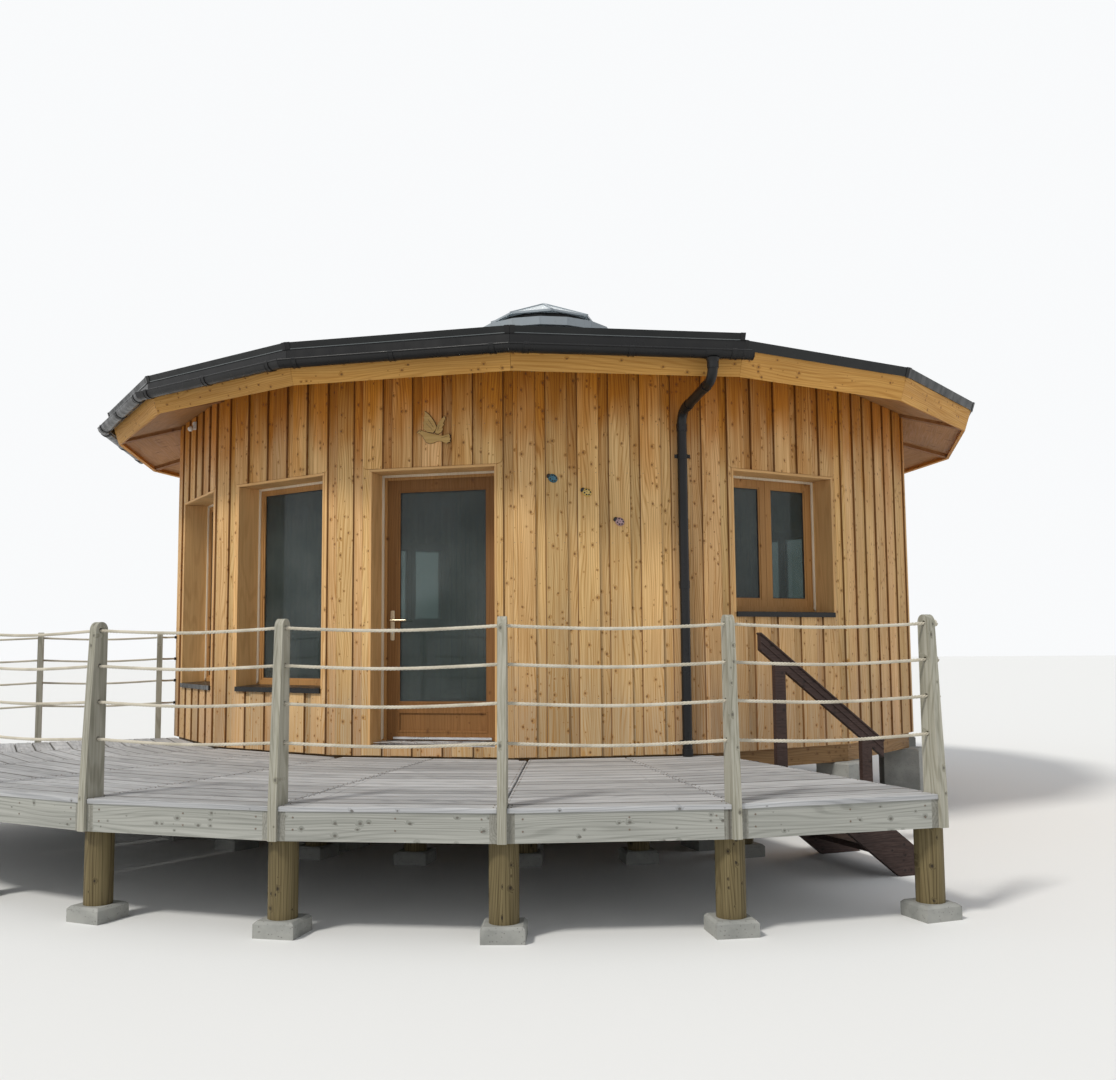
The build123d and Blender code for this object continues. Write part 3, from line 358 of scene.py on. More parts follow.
def cladding_finish():
    """Larch boarding: orange under the eaves (unweathered wood and painted eave shade), paler and greyer
    below, each board its own tone.
    """
    material, graph, shader = new_material("larch_cladding")
    place = graph.group(RING, Step=STEP, Start=0.0)
    boards = {"First": FIRST_BOARD, "Pitch": PITCH, "Width": WIDE, "Reach": 0.006}
    joints = graph.group(JOINTS, Place=place["Along"], **boards)
    board, narrow = joints["Board"], joints["Narrow"]
    code = graph.vector(board, place["Side"], 0.0)
    white = graph.add("ShaderNodeTexWhiteNoise", {"noise_dimensions": "3D"}, Vector=code)
    drawn = graph.add("ShaderNodeSeparateColor", Color=white.outputs["Color"]).outputs
    sway = graph.noise(graph.vector(graph.times(place["Along"], 3.0), place["Up"], board), 1.2)
    level = graph.plus(place["Up"], graph.ramp(sway, 0.2, 0.8, -0.35, 0.35))
    # Painted shade of the eaves, with the wood's own unweathered orange: the boards darken to the orange
    # tones near the top.
    eave_shade_and_fade = graph.ramp(level, *EAVE_SHADE_AND_FADE)
    worn = graph.ramp(level, *WEAR)
    light = graph.mix(eave_shade_and_fade, ORANGE_LIGHT, PALE_LIGHT)
    made = graph.group(
        GRAIN,
        Across=place["Along"],
        Along=place["Up"],
        Through=place["Out"],
        Seed=graph.times(drawn[0], 9.0),
        Light=graph.mix(graph.times(worn, 0.8), light, WORN_LIGHT),
        Dark=graph.mix(eave_shade_and_fade, ORANGE_DARK, PALE_DARK),
        Knot=(0.155, 0.066, 0.024),
        Knots=0.16,
        Contrast=0.95,
    )
    tone = graph.ramp(drawn[1], 0.0, 1.0, 0.91, 1.08)
    shade = graph.minus(tone, graph.times(narrow, 0.06))
    green = graph.times(shade, graph.ramp(drawn[2], 0.0, 1.0, 0.97, 1.03))
    hue = graph.add("ShaderNodeCombineColor", Red=shade, Green=green, Blue=shade).outputs[0]
    toned = graph.mix(1.0, made["Color"], hue, "MULTIPLY")
    # Painted shade and dirt in the joints: each board darkens near its edges.
    seam = graph.times(joints["Joint"], 0.75)
    graph.wire(
        shader,
        Base_Color=graph.mix(seam, toned, SEAM_SHADE_AND_DIRT),
        Roughness=made["Roughness"],
        Specular_IOR_Level=0.25,
        Normal=graph.bump(made["Height"], 0.0012),
    )
    return material


def coated_metal(name, colour, roughness=0.38, spread=0.12, metallic=0.0, dust=0.15, shine=0.5):
    """Coated or bare sheet with faint rubs and dust."""
    material, graph, shader = new_material(name)
    limits = {"Smoothest": roughness - spread, "Roughest": roughness + spread}
    made = graph.group(COAT, Coat=colour, Dust=dust, **limits)
    normal = graph.bump(made["Height"], 0.0001)
    graph.wire(shader, Base_Color=made["Color"], Roughness=made["Roughness"], Normal=normal)
    graph.wire(shader, Metallic=metallic, Specular_IOR_Level=shine)
    return material


def concrete_finish():
    """Cast concrete with blotches and small pores."""
    material, graph, shader = new_material("cast_concrete")
    place = graph.place()
    blotch = graph.ramp(graph.noise(place, 3.5, 5.0, 0.6), 0.3, 0.7)
    pores = graph.add("ShaderNodeTexVoronoi", Vector=place, Scale=55.0).outputs["Distance"]
    pitted = graph.ramp(pores, 0.08, 0.25)
    colour = graph.mix(blotch, (0.23, 0.235, 0.22), (0.37, 0.37, 0.345))
    colour = graph.mix(pitted, (0.2, 0.19, 0.18), colour)
    graph.wire(shader, Base_Color=colour, Roughness=0.9, Normal=graph.bump(pitted, 0.002))
    return material


def membrane_finish():
    """Dark roofing sheet with a fine grit and slight ponding marks."""
    material, graph, shader = new_material("roofing_sheet")
    place = graph.place()
    marks = graph.ramp(graph.noise(place, 1.6, 4.0, 0.6), 0.4, 0.75)
    colour = graph.mix(marks, (0.045, 0.048, 0.052), (0.075, 0.079, 0.081))
    grit = graph.bump(graph.noise(place, 260.0), 0.0006)
    graph.wire(shader, Base_Color=colour, Roughness=0.72, Normal=grit)
    return material


def glass_finish(name, tint, clear, roughness=0.03):
    """Glazing: tinted, partly clear, with a faint waviness."""
    material, graph, shader = new_material(name)
    made = graph.group(PANE, Tint=tint)
    normal = graph.bump(made["Height"], 0.0015)
    graph.wire(shader, Base_Color=made["Color"], Roughness=roughness, Normal=normal)
    graph.wire(shader, Metallic=0.0, Transmission_Weight=clear, IOR=1.25)
    return material


def rope_finish():
    """Cream twisted fibre."""
    material, graph, shader = new_material("rope_fibre")
    place = graph.place()
    hairs = graph.noise(graph.stretch(place, (900.0, 900.0, 500.0)))
    blotch = graph.noise(place, 7.0, 3.0)
    light = graph.mix(graph.ramp(blotch, 0.35, 0.7), (0.66, 0.61, 0.5), (0.5, 0.455, 0.36))
    colour = graph.mix(graph.ramp(hairs, 0.4, 0.8, 0.0, 0.4), light, (0.35, 0.3, 0.22))
    graph.wire(shader, Base_Color=colour, Roughness=0.9, Sheen_Weight=0.2, Normal=graph.bump(hairs, 0.0006))
    return material


DARK_KNOT = (0.12, 0.05, 0.018)
GREY_KNOT = (0.1, 0.09, 0.075)
STAIN_KNOT = (0.012, 0.008, 0.006)
REVEAL_TONES = ((0.70, 0.43, 0.185), (0.45, 0.225, 0.07), DARK_KNOT)
DECK_ROWS = (DECK_EDGE, DECK_BOARD + DECK_GAP, DECK_BOARD, DECK_CHORD)

LARCH = cladding_finish()
FASCIA = timber("planed_larch", (0.64, 0.35, 0.09), (0.40, 0.165, 0.025), DARK_KNOT, "along", 0.12, 0.75)
REVEAL = timber("reveal_larch", *REVEAL_TONES, "up", 0.0, 0.5)
HEAD_TRIM = timber("head_larch", *REVEAL_TONES, "along", 0.0, 0.5)
CASING = timber("pale_casing", (0.74, 0.66, 0.52), (0.56, 0.45, 0.30), DARK_KNOT, "up", 0.0, 0.5)
SOFFIT = timber("soffit_board", (0.40, 0.21, 0.075), (0.25, 0.115, 0.032), DARK_KNOT, "along", 0.1, 0.5)
# sawn_softwood is kept dark as painted shade, for the rim beams that stand in shade under the deck.
SHADED_STRUCTURE = timber("sawn_softwood", (0.29, 0.17, 0.07), (0.16, 0.08, 0.027), DARK_KNOT, "along", 0.2)
RAFTER = timber("hip_timber", (0.34, 0.165, 0.06), (0.2, 0.08, 0.025), DARK_KNOT, "out", 0.12)
VARNISH = timber("varnished_timber", (0.47, 0.25, 0.09), (0.27, 0.12, 0.032), DARK_KNOT, "up", 0.04, 0.6)
# shaded_varnished_door is a darker copy of varnished_timber: painted shade on the door, which is lit less.
SHADED_DOOR_WOOD = timber("shaded_varnished_door", (0.25, 0.118, 0.036), (0.14, 0.056, 0.014), DARK_KNOT, "up", 0.04, 0.6)
DECK_TONES = ((0.50, 0.505, 0.51), (0.25, 0.255, 0.265), GREY_KNOT)
DECK = timber("weathered_deck", *DECK_TONES, "along", 0.08, 0.8, "bay", rows=DECK_ROWS)
RIM = timber("weathered_rim", (0.40, 0.40, 0.365), (0.2, 0.205, 0.18), GREY_KNOT, "along", 0.1, 0.75, "bay")
JOIST = timber("weathered_joist", (0.30, 0.295, 0.26), (0.15, 0.145, 0.12), GREY_KNOT, "out", 0.2, 0.7, "bay")
PLANK = timber("treated_plank", (0.41, 0.395, 0.33), (0.2, 0.19, 0.14), GREY_KNOT, "up", 0.08, 0.8, "bay")
# round_timber is weathered olive-brown wood made darker as painted shade: the posts stand in shade.
SHADED_POST = timber("round_timber", (0.185, 0.145, 0.068), (0.066, 0.047, 0.02), STAIN_KNOT, "up", 0.15, 0.9, "bay")
STAIN_TONES = ((0.06, 0.035, 0.029), (0.024, 0.014, 0.012), STAIN_KNOT)
STAIN = timber("dark_stain", *STAIN_TONES, "along", 0.1, 0.8, "bay")
CARVED = timber("carved_wood", (0.60, 0.40, 0.15), (0.40, 0.235, 0.07), DARK_KNOT, "along", 0.0, depth=0.0004)
ANTHRACITE = coated_metal("anthracite_steel", (0.010, 0.010, 0.0105), 0.34, dust=0.015, shine=0.3)
TRIM = coated_metal("roof_edge_steel", (0.013, 0.0145, 0.015), 0.4, dust=0.02, shine=0.3)
# painted_edge_highlight is a pale strip colour: a painted highlight along the roof edge.
EDGE_HIGHLIGHT = coated_metal("painted_edge_highlight", (0.13, 0.145, 0.15), 0.3)
GREY = coated_metal("grey_sheet", (0.30, 0.34, 0.37), 0.36)
NAIL = coated_metal("dull_nail", (0.17, 0.13, 0.1), 0.5)
WHITE = coated_metal("white_plastic", (0.72, 0.71, 0.67), 0.4, dust=0.1)
BLACK = coated_metal("black_rubber", (0.012, 0.012, 0.012), 0.6, dust=0.05)
ALUMINIUM = coated_metal("bare_aluminium", (0.6, 0.61, 0.62), 0.35, metallic=1.0)
STEEL = coated_metal("stainless_steel", (0.5, 0.5, 0.49), 0.35, 0.1, metallic=1.0, dust=0.1)
CHAMPAGNE = coated_metal("handle_metal", (0.55, 0.46, 0.32), 0.3, 0.08, metallic=1.0, dust=0.02)
TEAL_PAINT = coated_metal("teal_paint", (0.03, 0.14, 0.2), 0.22, dust=0.05)
GOLD_PAINT = coated_metal("gold_paint", (0.62, 0.43, 0.12), 0.22, dust=0.05)
ROSE_PAINT = coated_metal("rose_paint", (0.44, 0.28, 0.29), 0.22, dust=0.05)
CONCRETE = concrete_finish()
SHEET = membrane_finish()
GLASS = glass_finish("window_glass", (0.19, 0.245, 0.235), 0.85)
SKY_GLASS = glass_finish("skylight_glass", (0.85, 0.92, 0.95), 0.3, 0.2)
ROPE = rope_finish()

FINISHES = {
    "concrete_piers deck_pads": CONCRETE,
    "rim_beams floor_hub floor skylight_curb": SHADED_STRUCTURE,
    "floor_joists rafters": RAFTER,
    "roof_panels soffit_boards ceiling_boards": SOFFIT,
    "front_wall_sides front_wall_head door_sill_wall window_walls plain_walls": LARCH,
    "roof_membrane": SHEET,
    "fascia_boards": FASCIA,
    "door_lining window_linings": REVEAL,
    "edge_trim": TRIM,
    "gutter_apron gutter downpipe downpipe_clips window_sills rope_eyes": ANTHRACITE,
    "skylight_skirt skylight_cap": GREY,
    "skylight_panes": SKY_GLASS,
    "window_frames window_sashes door_frame": VARNISH,
    "door_leaf": SHADED_DOOR_WOOD,
    "window_glass door_glass": GLASS,
    "door_threshold door_hinge_pins door_hinge_sleeves": ALUMINIUM,
    "door_handle_plates door_lever": CHAMPAGNE,
    "deck_posts": SHADED_POST,
    "deck_joists": JOIST,
    "deck_cross_members": RIM,
    "decking": DECK,
    "stanchions": PLANK,
    "stair_stringers stair_treads handrail_posts handrail": STAIN,
}
for names, finish in FINISHES.items():
    for name in names.split():
        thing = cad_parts[name]
        thing.data.materials.clear()
        thing.data.materials.append(finish)


# Mesh helpers


def as_mesh(name, bm):
    """Mesh made of a bmesh, which is freed."""
    mesh = bpy.data.meshes.new(name)
    bm.to_mesh(mesh)
    bm.free()
    return mesh


def in_scene(name, data):
    """New object with this data, linked to the scene."""
    thing = bpy.data.objects.new(name, data)
    bpy.context.scene.collection.objects.link(thing)
    return thing


def finished(name, bm, material, body="cabin", smooth=False):
    """Turn a bmesh into a named piece that rides on a CAD body."""
    bmesh.ops.recalc_face_normals(bm, faces=bm.faces)
    mesh = as_mesh(name, bm)
    mesh.materials.append(material)
    if smooth:
        mesh.shade_smooth()
    thing = in_scene(name, mesh)
    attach(thing, body)
    return thing


def spun(angle):
    """Turn about the cabin's axis, from the door side towards +X."""
    return Matrix.Rotation(angle, 4, "Z")


def turned(bm, corners, turn):
    """Turn corners about the cabin's axis."""
    bmesh.ops.rotate(bm, cent=(0, 0, 0), matrix=spun(turn).to_3x3(), verts=corners)


def about(middle, half):
    """Both ends of a length about its middle."""
    return middle - half, middle + half


def edges_of(corners):
    """Every edge at these corners."""
    return {edge for corner in corners for edge in corner.link_edges}


def ease(bm, edges, width):
    """Small flat bevel, or none at width 0."""
    if width:
        geom = list(edges)
        bmesh.ops.bevel(bm, geom=geom, offset=width, segments=1, profile=0.5, affect="EDGES", material=-1)


def add_cube(bm, place, size, bevel):
    """Block of this size, centred on a place."""
    made = bmesh.ops.create_cube(bm, size=1, matrix=place @ Matrix.Diagonal((*size, 1)))
    ease(bm, edges_of(made["verts"]), bevel)


def add_block(bm, x, out, z, turn, bevel=0.002):
    """Block in a side's frame: x along it, out from the axis, z up."""
    size = (x[1] - x[0], out[1] - out[0], z[1] - z[0])
    centre = ((x[0] + x[1]) / 2, -(out[0] + out[1]) / 2, (z[0] + z[1]) / 2)
    add_cube(bm, spun(turn) @ Matrix.Translation(centre), size, bevel)


def thickened(bm, faces, vec):
    """Extrude faces and move the new corners, which it returns."""
    grown = bmesh.ops.extrude_face_region(bm, geom=faces)["geom"]
    moved = [item for item in grown if isinstance(item, bmesh.types.BMVert)]
    bmesh.ops.translate(bm, vec=vec, verts=moved)
    return moved


def grown_from(bm, corners, vec=(0, 0, 0)):
    """Thicken the face on these corners; all the corners, old ones first."""
    return corners + thickened(bm, [bm.faces.new(corners)], vec)


def add_plate(bm, outline, out, turn, bevel=0.0025):
    """Flat piece standing on a side: an outline of (along, height) points, thickened outwards."""
    corners = [bm.verts.new((x, -out[0], z)) for x, z in outline]
    everything = grown_from(bm, corners, (0, out[0] - out[1], 0))
    turned(bm, everything, turn)
    ease(bm, edges_of(everything), bevel)


def add_run(bm, number, profile, left=None, right=None, sides=SIDES, gap=0.001):
    """Profile of (out, height) points run along one side, mitred where no end is given."""
    reach = math.tan(math.pi / sides)
    everything = grown_from(bm, [bm.verts.new((0, -out, z)) for out, z in profile])
    half = len(profile)
    for side, end, corners in ((-1, left, everything[:half]), (1, right, everything[half:])):
        for corner in corners:
            corner.co.x = side * (-corner.co.y * reach - gap) if end is None else end
    turned(bm, everything, math.tau / sides * number)


def add_slab(bm, corners, rise, turn):
    """Thin piece over corners of (along, out, height), thickened upwards."""
    low = [bm.verts.new((along, -out, z)) for along, out, z in corners]
    turned(bm, grown_from(bm, low, (0, 0, rise)), turn)


def add_bar(bm, start, end, width, thick, bevel=0.0015):
    """Flat bar from one point to another, its broad side up."""
    along = end - start
    side = along.cross(Vector((0, 0, 1))).normalized()
    face = side.cross(along).normalized()
    turn = Matrix((side, face, along.normalized())).transposed().to_4x4()
    add_cube(bm, Matrix.Translation((start + end) / 2) @ turn, (width, thick, along.length), bevel)


def add_cone(bm, place, radii, depth, segments=12):
    """Closed cone or rod about its own z axis."""
    bmesh.ops.create_cone(
        bm, cap_ends=True, segments=segments, radius1=radii[0], radius2=radii[1], depth=depth, matrix=place
    )


def add_sleeve(bm, place, radii, length, segments=24):
    """Short tube about its own z axis."""
    section = ((radii[0], -0.5), (radii[1], -0.5), (radii[1], 0.5), (radii[0], 0.5))
    corners = [bm.verts.new(place @ Vector((radius, 0, share * length))) for radius, share in section]
    bmesh.ops.spin(
        bm,
        geom=corners + [bm.edges.new((corners[k - 1], corners[k])) for k in range(4)],
        cent=place.translation,
        axis=place.to_3x3() @ Vector((0, 0, 1)),
        angle=math.tau,
        steps=segments,
        use_merge=True,
    )


def add_dome(bm, place, size, segments=20):
    """Rounded body with these half sizes."""
    shape = place @ Matrix.Diagonal((*size, 1))
    bmesh.ops.create_uvsphere(bm, u_segments=segments, v_segments=segments // 2, radius=1, matrix=shape)


def add_half_band(bm, turn, x, radii, steps=14):
    """Half-round band about the gutter's line."""
    place = spun(turn) @ Matrix.Translation((0, -GUTTER_OUT, GUTTER_Z))
    section = ((x[0], radii[0]), (x[1], radii[0]), (x[1], radii[1]), (x[0], radii[1]))
    face = bm.faces.new([bm.verts.new(place @ Vector((along, -radius, 0))) for along, radius in section])
    bmesh.ops.spin(
        bm,
        geom=list(face.verts) + list(face.edges) + [face],
        cent=place.translation,
        axis=place.to_3x3() @ Vector((1, 0, 0)),
        angle=math.pi,
        steps=steps,
    )


def add_bead_frame(bm, turn, x, z, out, width, sides="LRTB", bevel=0.0015):
    """Mitred strips inside a rectangle."""
    (x0, x1), (z0, z1) = x, z
    a0, a1, b0, b1 = x0 + width, x1 - width, z0 + width, z1 - width
    outlines = {
        "L": [(x0, z0), (a0, b0), (a0, b1), (x0, z1)],
        "R": [(a1, b0), (x1, z0), (x1, z1), (a1, b1)],
        "T": [(a0, b1), (a1, b1), (x1, z1), (x0, z1)],
        "B": [(x0, z0), (x1, z0), (a1, b0), (a0, b0)],
    }
    for side in sides:
        add_plate(bm, outlines[side], out, turn, bevel)


def outward(turn, along, out, z):
    """Place on a side whose own z axis points out from the wall."""
    facing = Matrix.Rotation(math.pi / 2, 4, "X")
    return spun(turn) @ Matrix.Translation((along, -out, z)) @ facing


def add_mesh(bm, mesh):
    """Take a mesh into the bmesh and drop it."""
    bm.from_mesh(mesh)
    bpy.data.meshes.remove(mesh)


def on_slope(inward, rise):
    """Distance from the axis and height in the eave's slope frame."""
    distance = EAVE + rise * math.sin(SLOPE) - inward * math.cos(SLOPE)
    return distance, EAVE_HEIGHT + rise * math.cos(SLOPE) + inward * math.sin(SLOPE)


def roof_height(distance, rise):
    """Height of a roof layer at a distance from the axis."""
    inward = (EAVE + rise * math.sin(SLOPE) - distance) / math.cos(SLOPE)
    return on_slope(inward, rise)[1]


# Cladding

BOARD_THICK = 0.016
HIP_HALF = 0.047
HIP_DROP = 0.03
EDGE_HALF = FACET / 2 + 0.0015
PANEL_CORNER = 0.045
PANEL_RISE = 0.004
NAIL_HEIGHTS = (0.79, 1.16, 1.76, 2.36, 2.91, 3.3, 3.7)
NAIL_INSET = 0.024

TALL_WINDOWS = (14, 15)
SMALL_WINDOWS = (2, 6, 10)
SMALL_SILL = 1.818
DOOR_HOLE = (-0.475, 0.585, FLOOR_TOP, HEAD + LINING)
TALL_HOLE = (*about(0.055, 0.548), 1.236, HEAD + LINING)
SMALL_HOLE = (*about(0.055, 0.553), SMALL_SILL, HEAD + LINING)
HOLES = {0: DOOR_HOLE} | dict.fromkeys(TALL_WINDOWS, TALL_HOLE) | dict.fromkeys(SMALL_WINDOWS, SMALL_HOLE)


def board_top(x0, x1):
    """Upper corners of a board, right one first, stepped down under the hip rafters."""
    high = SIDING_TOP
    hip = FACET / 2 - HIP_HALF
    if x0 < -hip:
        return [(x1, high), (-hip, high), (-hip, high - HIP_DROP), (x0, high - HIP_DROP)]
    if x0 >= hip:
        return [(x1, high - HIP_DROP), (x0, high - HIP_DROP)]
    if x1 > hip:
        return [(x1, high - HIP_DROP), (hip, high - HIP_DROP), (hip, high), (x0, high)]
    return [(x1, high), (x0, high)]


def corner_arc(x, z, side, radius):
    """Points of a quarter turn from a board's edge round to its lower end."""
    centre = x - side * radius
    angles = [math.pi / 2 * k / 6 for k in range(7)]
    return [(centre + side * radius * math.cos(a), z + radius - radius * math.sin(a)) for a in angles]


def board_parts(x0, x1, hole):
    """Outlines of one upright board with a flag for those of the raised panel over an opening."""
    low = SIDING_BOTTOM + 0.004
    if hole is None or x1 <= hole[0] or x0 >= hole[1]:
        return [([(x0, low), (x1, low)] + board_top(x0, x1), False)]
    left, right, sill, head = hole
    seat = head + 0.002
    parts = []
    upper_left = [(x0, seat)]
    upper_right = [(x1, seat)]
    if x1 > right:
        arc = corner_arc(x1, seat, 1, PANEL_CORNER)
        upper_right = arc[::-1]
        turn = [(x, z - 0.002) for x, z in arc if x > right]
        parts.append(([(right, low), (x1, low)] + turn + [(right, turn[-1][1])], False))
    if x0 < left:
        arc = corner_arc(x0, seat, -1, PANEL_CORNER)
        upper_left = arc
        turn = [(x, z - 0.002) for x, z in arc[::-1] if x < left]
        parts.append(([(x0, low), (left, low), (left, turn[0][1])] + turn, False))
    if sill > low + 0.05:
        a0, a1 = max(x0, left), min(x1, right)
        parts.append(([(a0, low), (a1, low), (a1, sill), (a0, sill)], False))
    parts.append((upper_left + upper_right + board_top(x0, x1), True))
    return parts


def side_boards(bm, nails, number):
    """The wide boards of one side; the wall behind them shows as the narrow ones."""
    hole = HOLES.get(number)
    turn = STEP * number
    left = FIRST_BOARD
    while left < FACET / 2:
        x0 = max(left, -EDGE_HALF)
        x1 = min(left + WIDE, EDGE_HALF)
        front = WALL + BOARD_THICK + draw.uniform(-0.001, 0.001)
        for outline, raised in board_parts(x0, x1, hole):
            add_plate(bm, outline, (WALL, front + PANEL_RISE * raised), turn, 0.002)
        for z in NAIL_HEIGHTS:
            for x in (x0 + NAIL_INSET, x1 - NAIL_INSET):
                clear = hole is None or not hole[0] - 0.01 < x < hole[1] + 0.01
                if (clear or not hole[2] < z < hole[3] + 0.02) and abs(x) < FACET / 2 - 0.02:
                    raised = hole is not None and hole[0] < (x0 + x1) / 2 < hole[1] and z > hole[3]
                    place = outward(turn, x, front + PANEL_RISE * raised, z)
                    add_cone(nails, place, (0.0036, 0.003), 0.002, 6)
        left += PITCH


nails = bmesh.new()
for name, numbers in (
    ("front_boards", (0,)),
    ("window_side_boards", TALL_WINDOWS + SMALL_WINDOWS),
    ("plain_side_boards", tuple(k for k in range(SIDES) if k not in HOLES)),
):
    bm = bmesh.new()
    for number in numbers:
        side_boards(bm, nails, number)
    finished(name, bm, LARCH)
finished("cladding_nails", nails, NAIL)


# Trims round the openings
FRAME_FACE = WALL - 0.21
PANE_FACE = WALL - 0.234
TRIM_BACK = WALL + 0.0035
FIXED_FIELD = ((-0.423, 0.533), (1.296, 2.91))
SASH_FIELDS = (((-0.398, -0.0025), (1.934, 2.88)), ((0.1125, 0.508), (1.934, 2.88)))

edges = bmesh.new()
heads = bmesh.new()
casings = bmesh.new()
for number, (left, right, sill, _) in HOLES.items():
    turn = STEP * number
    for x in (left, right - LINING):
        add_block(edges, (x, x + LINING), (TRIM_BACK, TRIM_BACK + 0.016), (sill, HEAD), turn)
    add_block(heads, (left, right), (TRIM_BACK, TRIM_BACK + 0.018), (HEAD, HEAD + LINING), turn)
    inner = (left + LINING, right - LINING)
    add_bead_frame(casings, turn, inner, (sill + 0.024, HEAD), (FRAME_FACE, FRAME_FACE + 0.014), 0.019, "LRT")
finished("opening_edges", edges, REVEAL)
finished("opening_heads", heads, HEAD_TRIM)
finished("reveal_casings", casings, CASING)

beads = bmesh.new()
gaskets = bmesh.new()
for numbers, fields, rise in ((TALL_WINDOWS, (FIXED_FIELD,), 0.017), (SMALL_WINDOWS, SASH_FIELDS, 0.011)):
    for number in numbers:
        for field in fields:
            add_bead_frame(beads, STEP * number, *field, (PANE_FACE, PANE_FACE + rise), 0.014)
            inner = [(low + 0.013, high - 0.013) for low, high in field]
            add_bead_frame(gaskets, STEP * number, *inner, (PANE_FACE, PANE_FACE + 0.005), 0.006, bevel=0)
finished("window_beads", beads, VARNISH)
finished("window_gaskets", gaskets, BLACK)

bm = bmesh.new()
for number in SMALL_WINDOWS:
    for x in (-0.11, 0.245):
        z = about(SMALL_SILL + 0.012, 0.004)
        add_block(bm, about(x, 0.02), about(FRAME_FACE - 0.004, 0.008), z, STEP * number, 0.001)
finished("window_drain_caps", bm, ANTHRACITE)

DOOR_FIELD = (-0.324, 0.434)
DOOR_PANE_FACE = 3.5288
LEAF_FACE = 3.5435
bm = bmesh.new()
add_bead_frame(bm, 0, DOOR_FIELD, (1.117, 2.832), (DOOR_PANE_FACE, DOOR_PANE_FACE + 0.0112), 0.016)
add_bead_frame(bm, 0, DOOR_FIELD, (0.887, 1.057), (LEAF_FACE - 0.0085, LEAF_FACE + 0.003), 0.018)
finished("door_mouldings", bm, SHADED_DOOR_WOOD, "door")
bm = bmesh.new()
depth = (DOOR_PANE_FACE, DOOR_PANE_FACE + 0.0047)
add_bead_frame(bm, 0, (-0.309, 0.419), (1.132, 2.817), depth, 0.006, bevel=0)
finished("door_gasket", bm, BLACK, "door")
bm = bmesh.new()
add_block(bm, (-0.36, 0.47), (LEAF_FACE - 0.001, LEAF_FACE + 0.012), (0.833, 0.853), 0, 0.003)
finished("door_drip_bar", bm, ALUMINIUM, "door")
LOCK = -0.367
bm = bmesh.new()
add_cone(bm, outward(0, LOCK, LEAF_FACE + 0.011, 1.69), (0.0085, 0.0085), 0.006, 20)
add_block(bm, about(LOCK, 0.0045), about(LEAF_FACE + 0.011, 0.0025), (1.667, 1.684), 0, 0.001)
finished("door_lock_cylinder", bm, STEEL, "door")
bm = bmesh.new()
for k in range(9):
    out = 3.575 + 0.022 * k
    add_block(bm, (-0.44, 0.55), (out, out + 0.012), (0.8215, 0.8235), 0, 0.0008)
finished("threshold_ribs", bm, ALUMINIUM)


# Roof edge, hips and soffit
def trim_levels(number):
    """Rises of the trim's upper and lower edge over one side."""
    return (0.327, 0.279) if number % SIDES in GUTTER_SIDES else (0.276, 0.199)


# Pale strips under the trim's lower edge on the gutter sides: a painted highlight of the edge.
bm = bmesh.new()
for number in GUTTER_SIDES:
    low = trim_levels(number)[1]
    section = ((-0.0165, 0), (-0.0165, -0.006), (-0.009, -0.006), (-0.009, 0))
    add_run(bm, number, [on_slope(inward, low + down) for inward, down in section])
finished("roof_edge_highlight_strips", bm, EDGE_HIGHLIGHT)

bm = bmesh.new()
CLIP_FROM = EAVE * math.tan(STEP / 2) - 0.018
for number in range(SIDES):
    top, low = trim_levels(number)
    profile = [
        on_slope(-0.0175, low - 0.007),
        on_slope(-0.0175, top + 0.003),
        on_slope(0.037, top - 0.0115),
        on_slope(0.037, 0.21),
        on_slope(0.0345, 0.21),
        on_slope(0.0345, top - 0.0138),
        on_slope(-0.0145, top),
        on_slope(-0.0145, low - 0.007),
    ]
    add_run(bm, number, profile, left=CLIP_FROM)
    add_run(bm, number, profile, right=-CLIP_FROM)
finished("roof_edge_clips", bm, ANTHRACITE)


def add_strip(bm, number, side, ends, inset, rise, thick):
    """Thin strip beside a hip: between two distances out and two from the hip's line, on a roof layer."""
    corners = []
    for out, inward in ((ends[0], inset[0]), (ends[1], inset[0]), (ends[1], inset[1]), (ends[0], inset[1])):
        reach = out * math.tan(STEP / 2)
        corners.append((side * (reach - inward), out, roof_height(out, rise)))
    add_slab(bm, corners, thick, STEP * number)


STRIP_ENDS = (0.64, 4.36)
BATTEN_ENDS = (WALL + 0.02, 4.32)

strips = bmesh.new()
battens = bmesh.new()
for number in range(SIDES):
    for side in (-1, 1):
        for width, rise, thick in ((0.085, 0.2062, 0.003), (0.012, 0.209, 0.004)):
            add_strip(strips, number, side, STRIP_ENDS, (0, width), rise, thick)
        for inset in ((0.004, 0.03), (0.042, 0.068)):
            add_strip(battens, number, side, BATTEN_ENDS, inset, 0.0285, 0.008)
finished("roof_hip_strips", strips, SHEET)
finished("soffit_battens", battens, RAFTER)

bm = bmesh.new()
add_block(bm, (-0.146, -0.09), (WALL + 0.015, WALL + 0.047), (3.642, 3.717), STEP * 14, 0.006)
add_dome(bm, outward(STEP * 14, -0.118, WALL + 0.068, 3.648), (0.034, 0.026, 0.026))
finished("eave_lamp", bm, WHITE)


# Gutter fittings and downpipe collars
GUTTER_HALF = GUTTER_OUT * math.tan(STEP / 2)
BRACKET_INNER = 0.0515
BRACKET_ROOM = 0.12
PIPE_FACE = 0.0375

